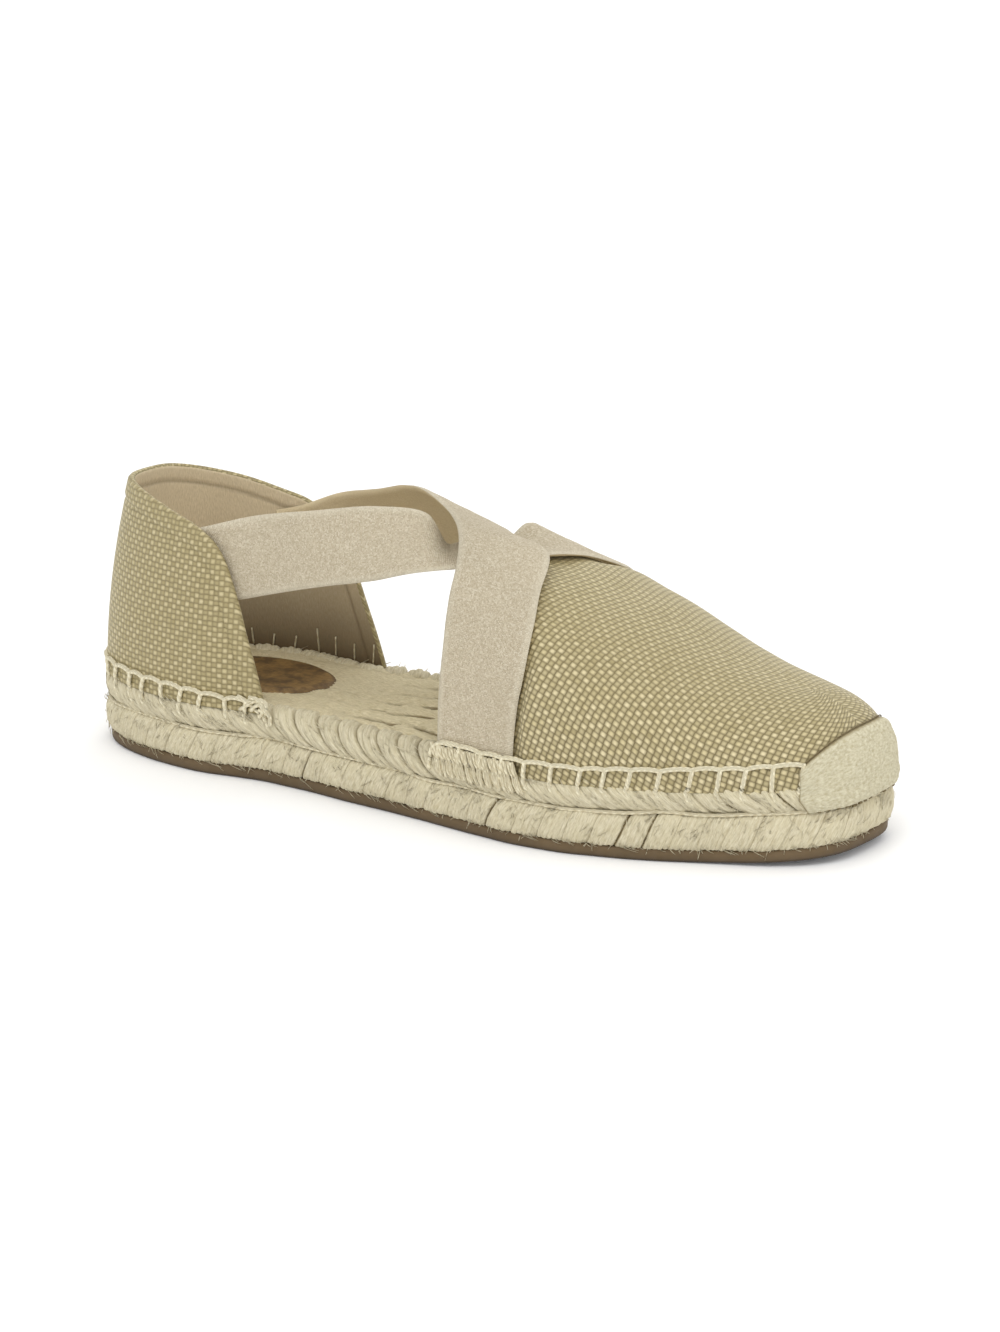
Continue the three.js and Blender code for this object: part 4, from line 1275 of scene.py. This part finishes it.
def knots():
    """Crossed and looped thread ends where a row of blanket stitches stops."""
    paths = []
    front = counter_front(-1) - 3.0
    shapes = [
        [(-7, 25.6), (-4, 24.4), (-1, 22.4), (1.5, 20.6), (3, 18.6)],
        [(-6, 20.6), (-3, 22.6), (0, 24.4), (3, 25.4), (5.6, 24.4), (6.2, 22.6), (4.4, 21.2), (2.2, 21.6)],
        [(-2, 25.8), (1.2, 25.6), (4, 24.0), (5.8, 21.4), (7.6, 18.6), (8.2, 16.4)],
        [(-1, 21.0), (1.2, 23.0), (3.2, 23.6), (4.6, 22.4), (4.0, 20.4), (2.4, 18.8)],
    ]
    for number, shape in enumerate(shapes):
        rows = [(front + KNOT_SIZE * w, STITCH_LINE + KNOT_SIZE * (z - STITCH_LINE)) for w, z in shape]
        paths.append(side_path(rows, 26, 0.6 + 0.25 * number))
    for side, share in ((-1, NEAR_STITCH_START), (1, FAR_STITCH_START)):
        start = way_of(side * angle_of_share(share))
        ahead = -side
        arch = [(-0.2, 17.4), (-0.4, 20.4), (0.6, 23.4), (3.0, 25.4), (6.0, 25.9), (9.0, 25.7)]
        paths.append(side_path([(start + ahead * w, z) for w, z in arch], 26, 0.8))
    piece = threads("stitch_knots", paths, 0.6, THREAD, 7)
    return piece


def strap_wraps():
    """Straw strands laid side by side over the foot of each strap, under the blanket stitch."""
    chance = np.random.default_rng(95)
    paths, radii = [], []
    for side in (-1, 1):
        start = way_of(side * angle_of_share(STRAP_FOOT[0] - 0.006))
        end = way_of(side * angle_of_share(STRAP_FOOT[1] + 0.002))
        ahead = -side
        for way in np.arange(0, abs(end - start), 1.15):
            lean = chance.uniform(1.4, 3.2)
            top = 25.2 + chance.uniform(-0.3, 0.3)
            place = start + ahead * way
            rows = [(place, top), (place + ahead * lean * 0.3, 22.6), (place + ahead * lean * 0.7, 19.6),
                    (place + ahead * lean * 1.5, 16.4)]
            paths.append(side_path(rows, 12, 0.62 + chance.uniform(-0.1, 0.2)))
            radii.append(chance.uniform(0.5, 0.75))
    piece = threads("strap_wraps", paths, radii, STRAW, 6)
    return piece


def inner_stitches():
    """Legs of the stitches where they show on the lining of the counter."""
    chance = np.random.default_rng(96)
    paths = []
    first, last = counter_front(1), counter_front(-1)
    for way in np.arange(first + 3, last - 2, HEEL_STITCH_PITCH):
        lean = chance.uniform(-0.8, 0.8)
        height = chance.uniform(25.0, 29.5)
        rows = []
        for t in np.linspace(0, 1, 6):
            z = height + (22.2 - height) * t
            angle = angle_at(way + lean * t)
            rows.append(counter_point(angle, (z - CLOTH_FOOT) / COUNTER_RISE, HEEL_LINING + 0.35))
        paths.append(rows)
    piece = threads("inner_stitches", paths, 0.28, STRAW, 6)
    return piece


def crease_thread():
    """The thin string that shows between the two rope rows."""
    ways = np.linspace(0, PERIMETER, 1400)
    wander = smooth_noise(ways, 9.0, 61, PERIMETER)
    hidden = smooth_noise(ways, 17.0, 63, PERIMETER)
    x, y = outline(angle_at(ways), 0.6 + 0.4 * wander + np.minimum(0, 1.3 * hidden))
    z = CREASE + 0.1 + 0.45 * smooth_noise(ways, 13.0, 62, PERIMETER) + lift(x) + padding(x, y)
    piece = threads("crease_thread", [np.stack([x, y, z], -1)], 0.55, STRAW, 6)
    return piece


def loose_fibres():
    """Short fine fibres that stand off the jute, and small tufts over the edge of the rubber."""
    chance = np.random.default_rng(77)
    paths = []
    radii = []
    for number in range(1500):
        way = chance.uniform(0, PERIMETER)
        low = number % 5 == 0
        z = chance.uniform(3.6, 5.0) if low else chance.uniform(4.4, 22.0)
        profile = LOWER_ROW if z < CREASE else UPPER_ROW[:7]
        out = out_at(profile, z)
        length = chance.uniform(1.2, 4.6)
        slant = chance.uniform(-1.0, 1.0) + (0.5 if z < CREASE else -1.0)
        stand = chance.uniform(0.1, 0.8)
        rise = -0.35 if low else 0.75 * math.copysign(1, z - 6)
        t = np.linspace(0, 1, 5)
        x, y = outline(angle_at(way + slant * length * t), out + 0.25 + stand * np.sin(t * 2.4))
        paths.append(np.stack([x, y, np.maximum(1.2, z + rise * length * t) + lift(x)], -1))
        radii.append(chance.uniform(0.07, 0.14))
    piece = threads("loose_fibres", paths, radii, STRAW, 3, 0.6)
    return piece


straps = [strap_tree(OVER_STRAP, OVER_ENDS, -1), strap_tree(UNDER_STRAP, UNDER_ENDS, 1)]
lower_row = rope_row("jute_lower_row", LOWER_ROW, steps=32, seed=11, lean=-0.5, bend=0.0, twist=0.5,
                     depths=(0.5, 0.45, 0.1), plies=5, tufts=0.8, waist=0.0)
upper_row = rope_row("jute_upper_row", UPPER_ROW, steps=42, seed=31, lean=1.5, bend=-0.75, twist=-0.6,
                     depths=(0.9, 0.6, 0.12), plies=3, tufts=0.0, waist=0.7)
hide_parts("jute_sole")
pieces = [
    rubber_outsole(), lower_row, upper_row, insole_bed(), toe_vamp(straps), heel_counter(),
    elastic_strap("strap_over_band", "strap_over", OVER_STRAP, OVER_ENDS, -1),
    elastic_strap("strap_under_band", "strap_under", UNDER_STRAP, UNDER_ENDS, 1),
    toe_bumper(), bumper_shade_threads(), heel_label(), stitching(), knots(), strap_wraps(), inner_stitches(),
    crease_thread(), loose_fibres(),
]
for piece in pieces:
    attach(piece, "root")


# Floor, light and camera

def studio():
    """Plain pale floor, a soft world light and three large lamps."""
    n = Nodes("pale_floor")
    material = n.finish((0.92, 0.92, 0.92), 0.9, Emission_Color=(1, 1, 1, 1), Emission_Strength=0.06)
    corners = [(-1, -1), (1, -1), (1, 1), (-1, 1)]
    mesh = bpy.data.meshes.new("floor")
    mesh.from_pydata([(FLOOR_HALF * x, FLOOR_HALF * y, 0) for x, y in corners], [], [(0, 1, 2, 3)])
    mesh.materials.append(material)
    floor = bpy.data.objects.new("floor", mesh)
    bpy.context.scene.collection.objects.link(floor)
    world = bpy.data.worlds.new("studio")
    world.use_nodes = True
    world.node_tree.nodes["Background"].inputs[0].default_value = (1, 1, 1, 1)
    world.node_tree.nodes["Background"].inputs[1].default_value = 1.0
    bpy.context.scene.world = world
    for name, (place, power) in LAMPS.items():
        light = bpy.data.lights.new(name, "AREA")
        light.shape = "DISK"
        light.size = LAMP_SIZE
        light.energy = power
        lamp = bpy.data.objects.new(name, light)
        lamp.location = place
        lamp.rotation_euler = (Vector((0, 0, 0.03)) - Vector(place)).to_track_quat("-Z", "Y").to_euler()
        bpy.context.scene.collection.objects.link(lamp)


def camera():
    """Camera at the photograph's angle: azimuth from the outer side towards the toe, and elevation."""
    azimuth, elevation = math.radians(VIEW_AZIMUTH), math.radians(VIEW_ELEVATION)
    level = math.cos(elevation)
    back = np.array([math.sin(azimuth) * level, -math.cos(azimuth) * level, math.sin(elevation)])
    data = bpy.data.cameras.new("camera")
    data.sensor_width = 36
    data.lens = LENS
    data.clip_end = 20
    eye = bpy.data.objects.new("camera", data)
    eye.location = Vector((np.array(VIEW_TARGET) + back * VIEW_DISTANCE) * MM)
    eye.rotation_euler = Vector(-back).to_track_quat("-Z", "Y").to_euler()
    bpy.context.scene.collection.objects.link(eye)
    bpy.context.scene.camera = eye


studio()
camera()
bpy.context.scene.view_settings.view_transform = "Standard"
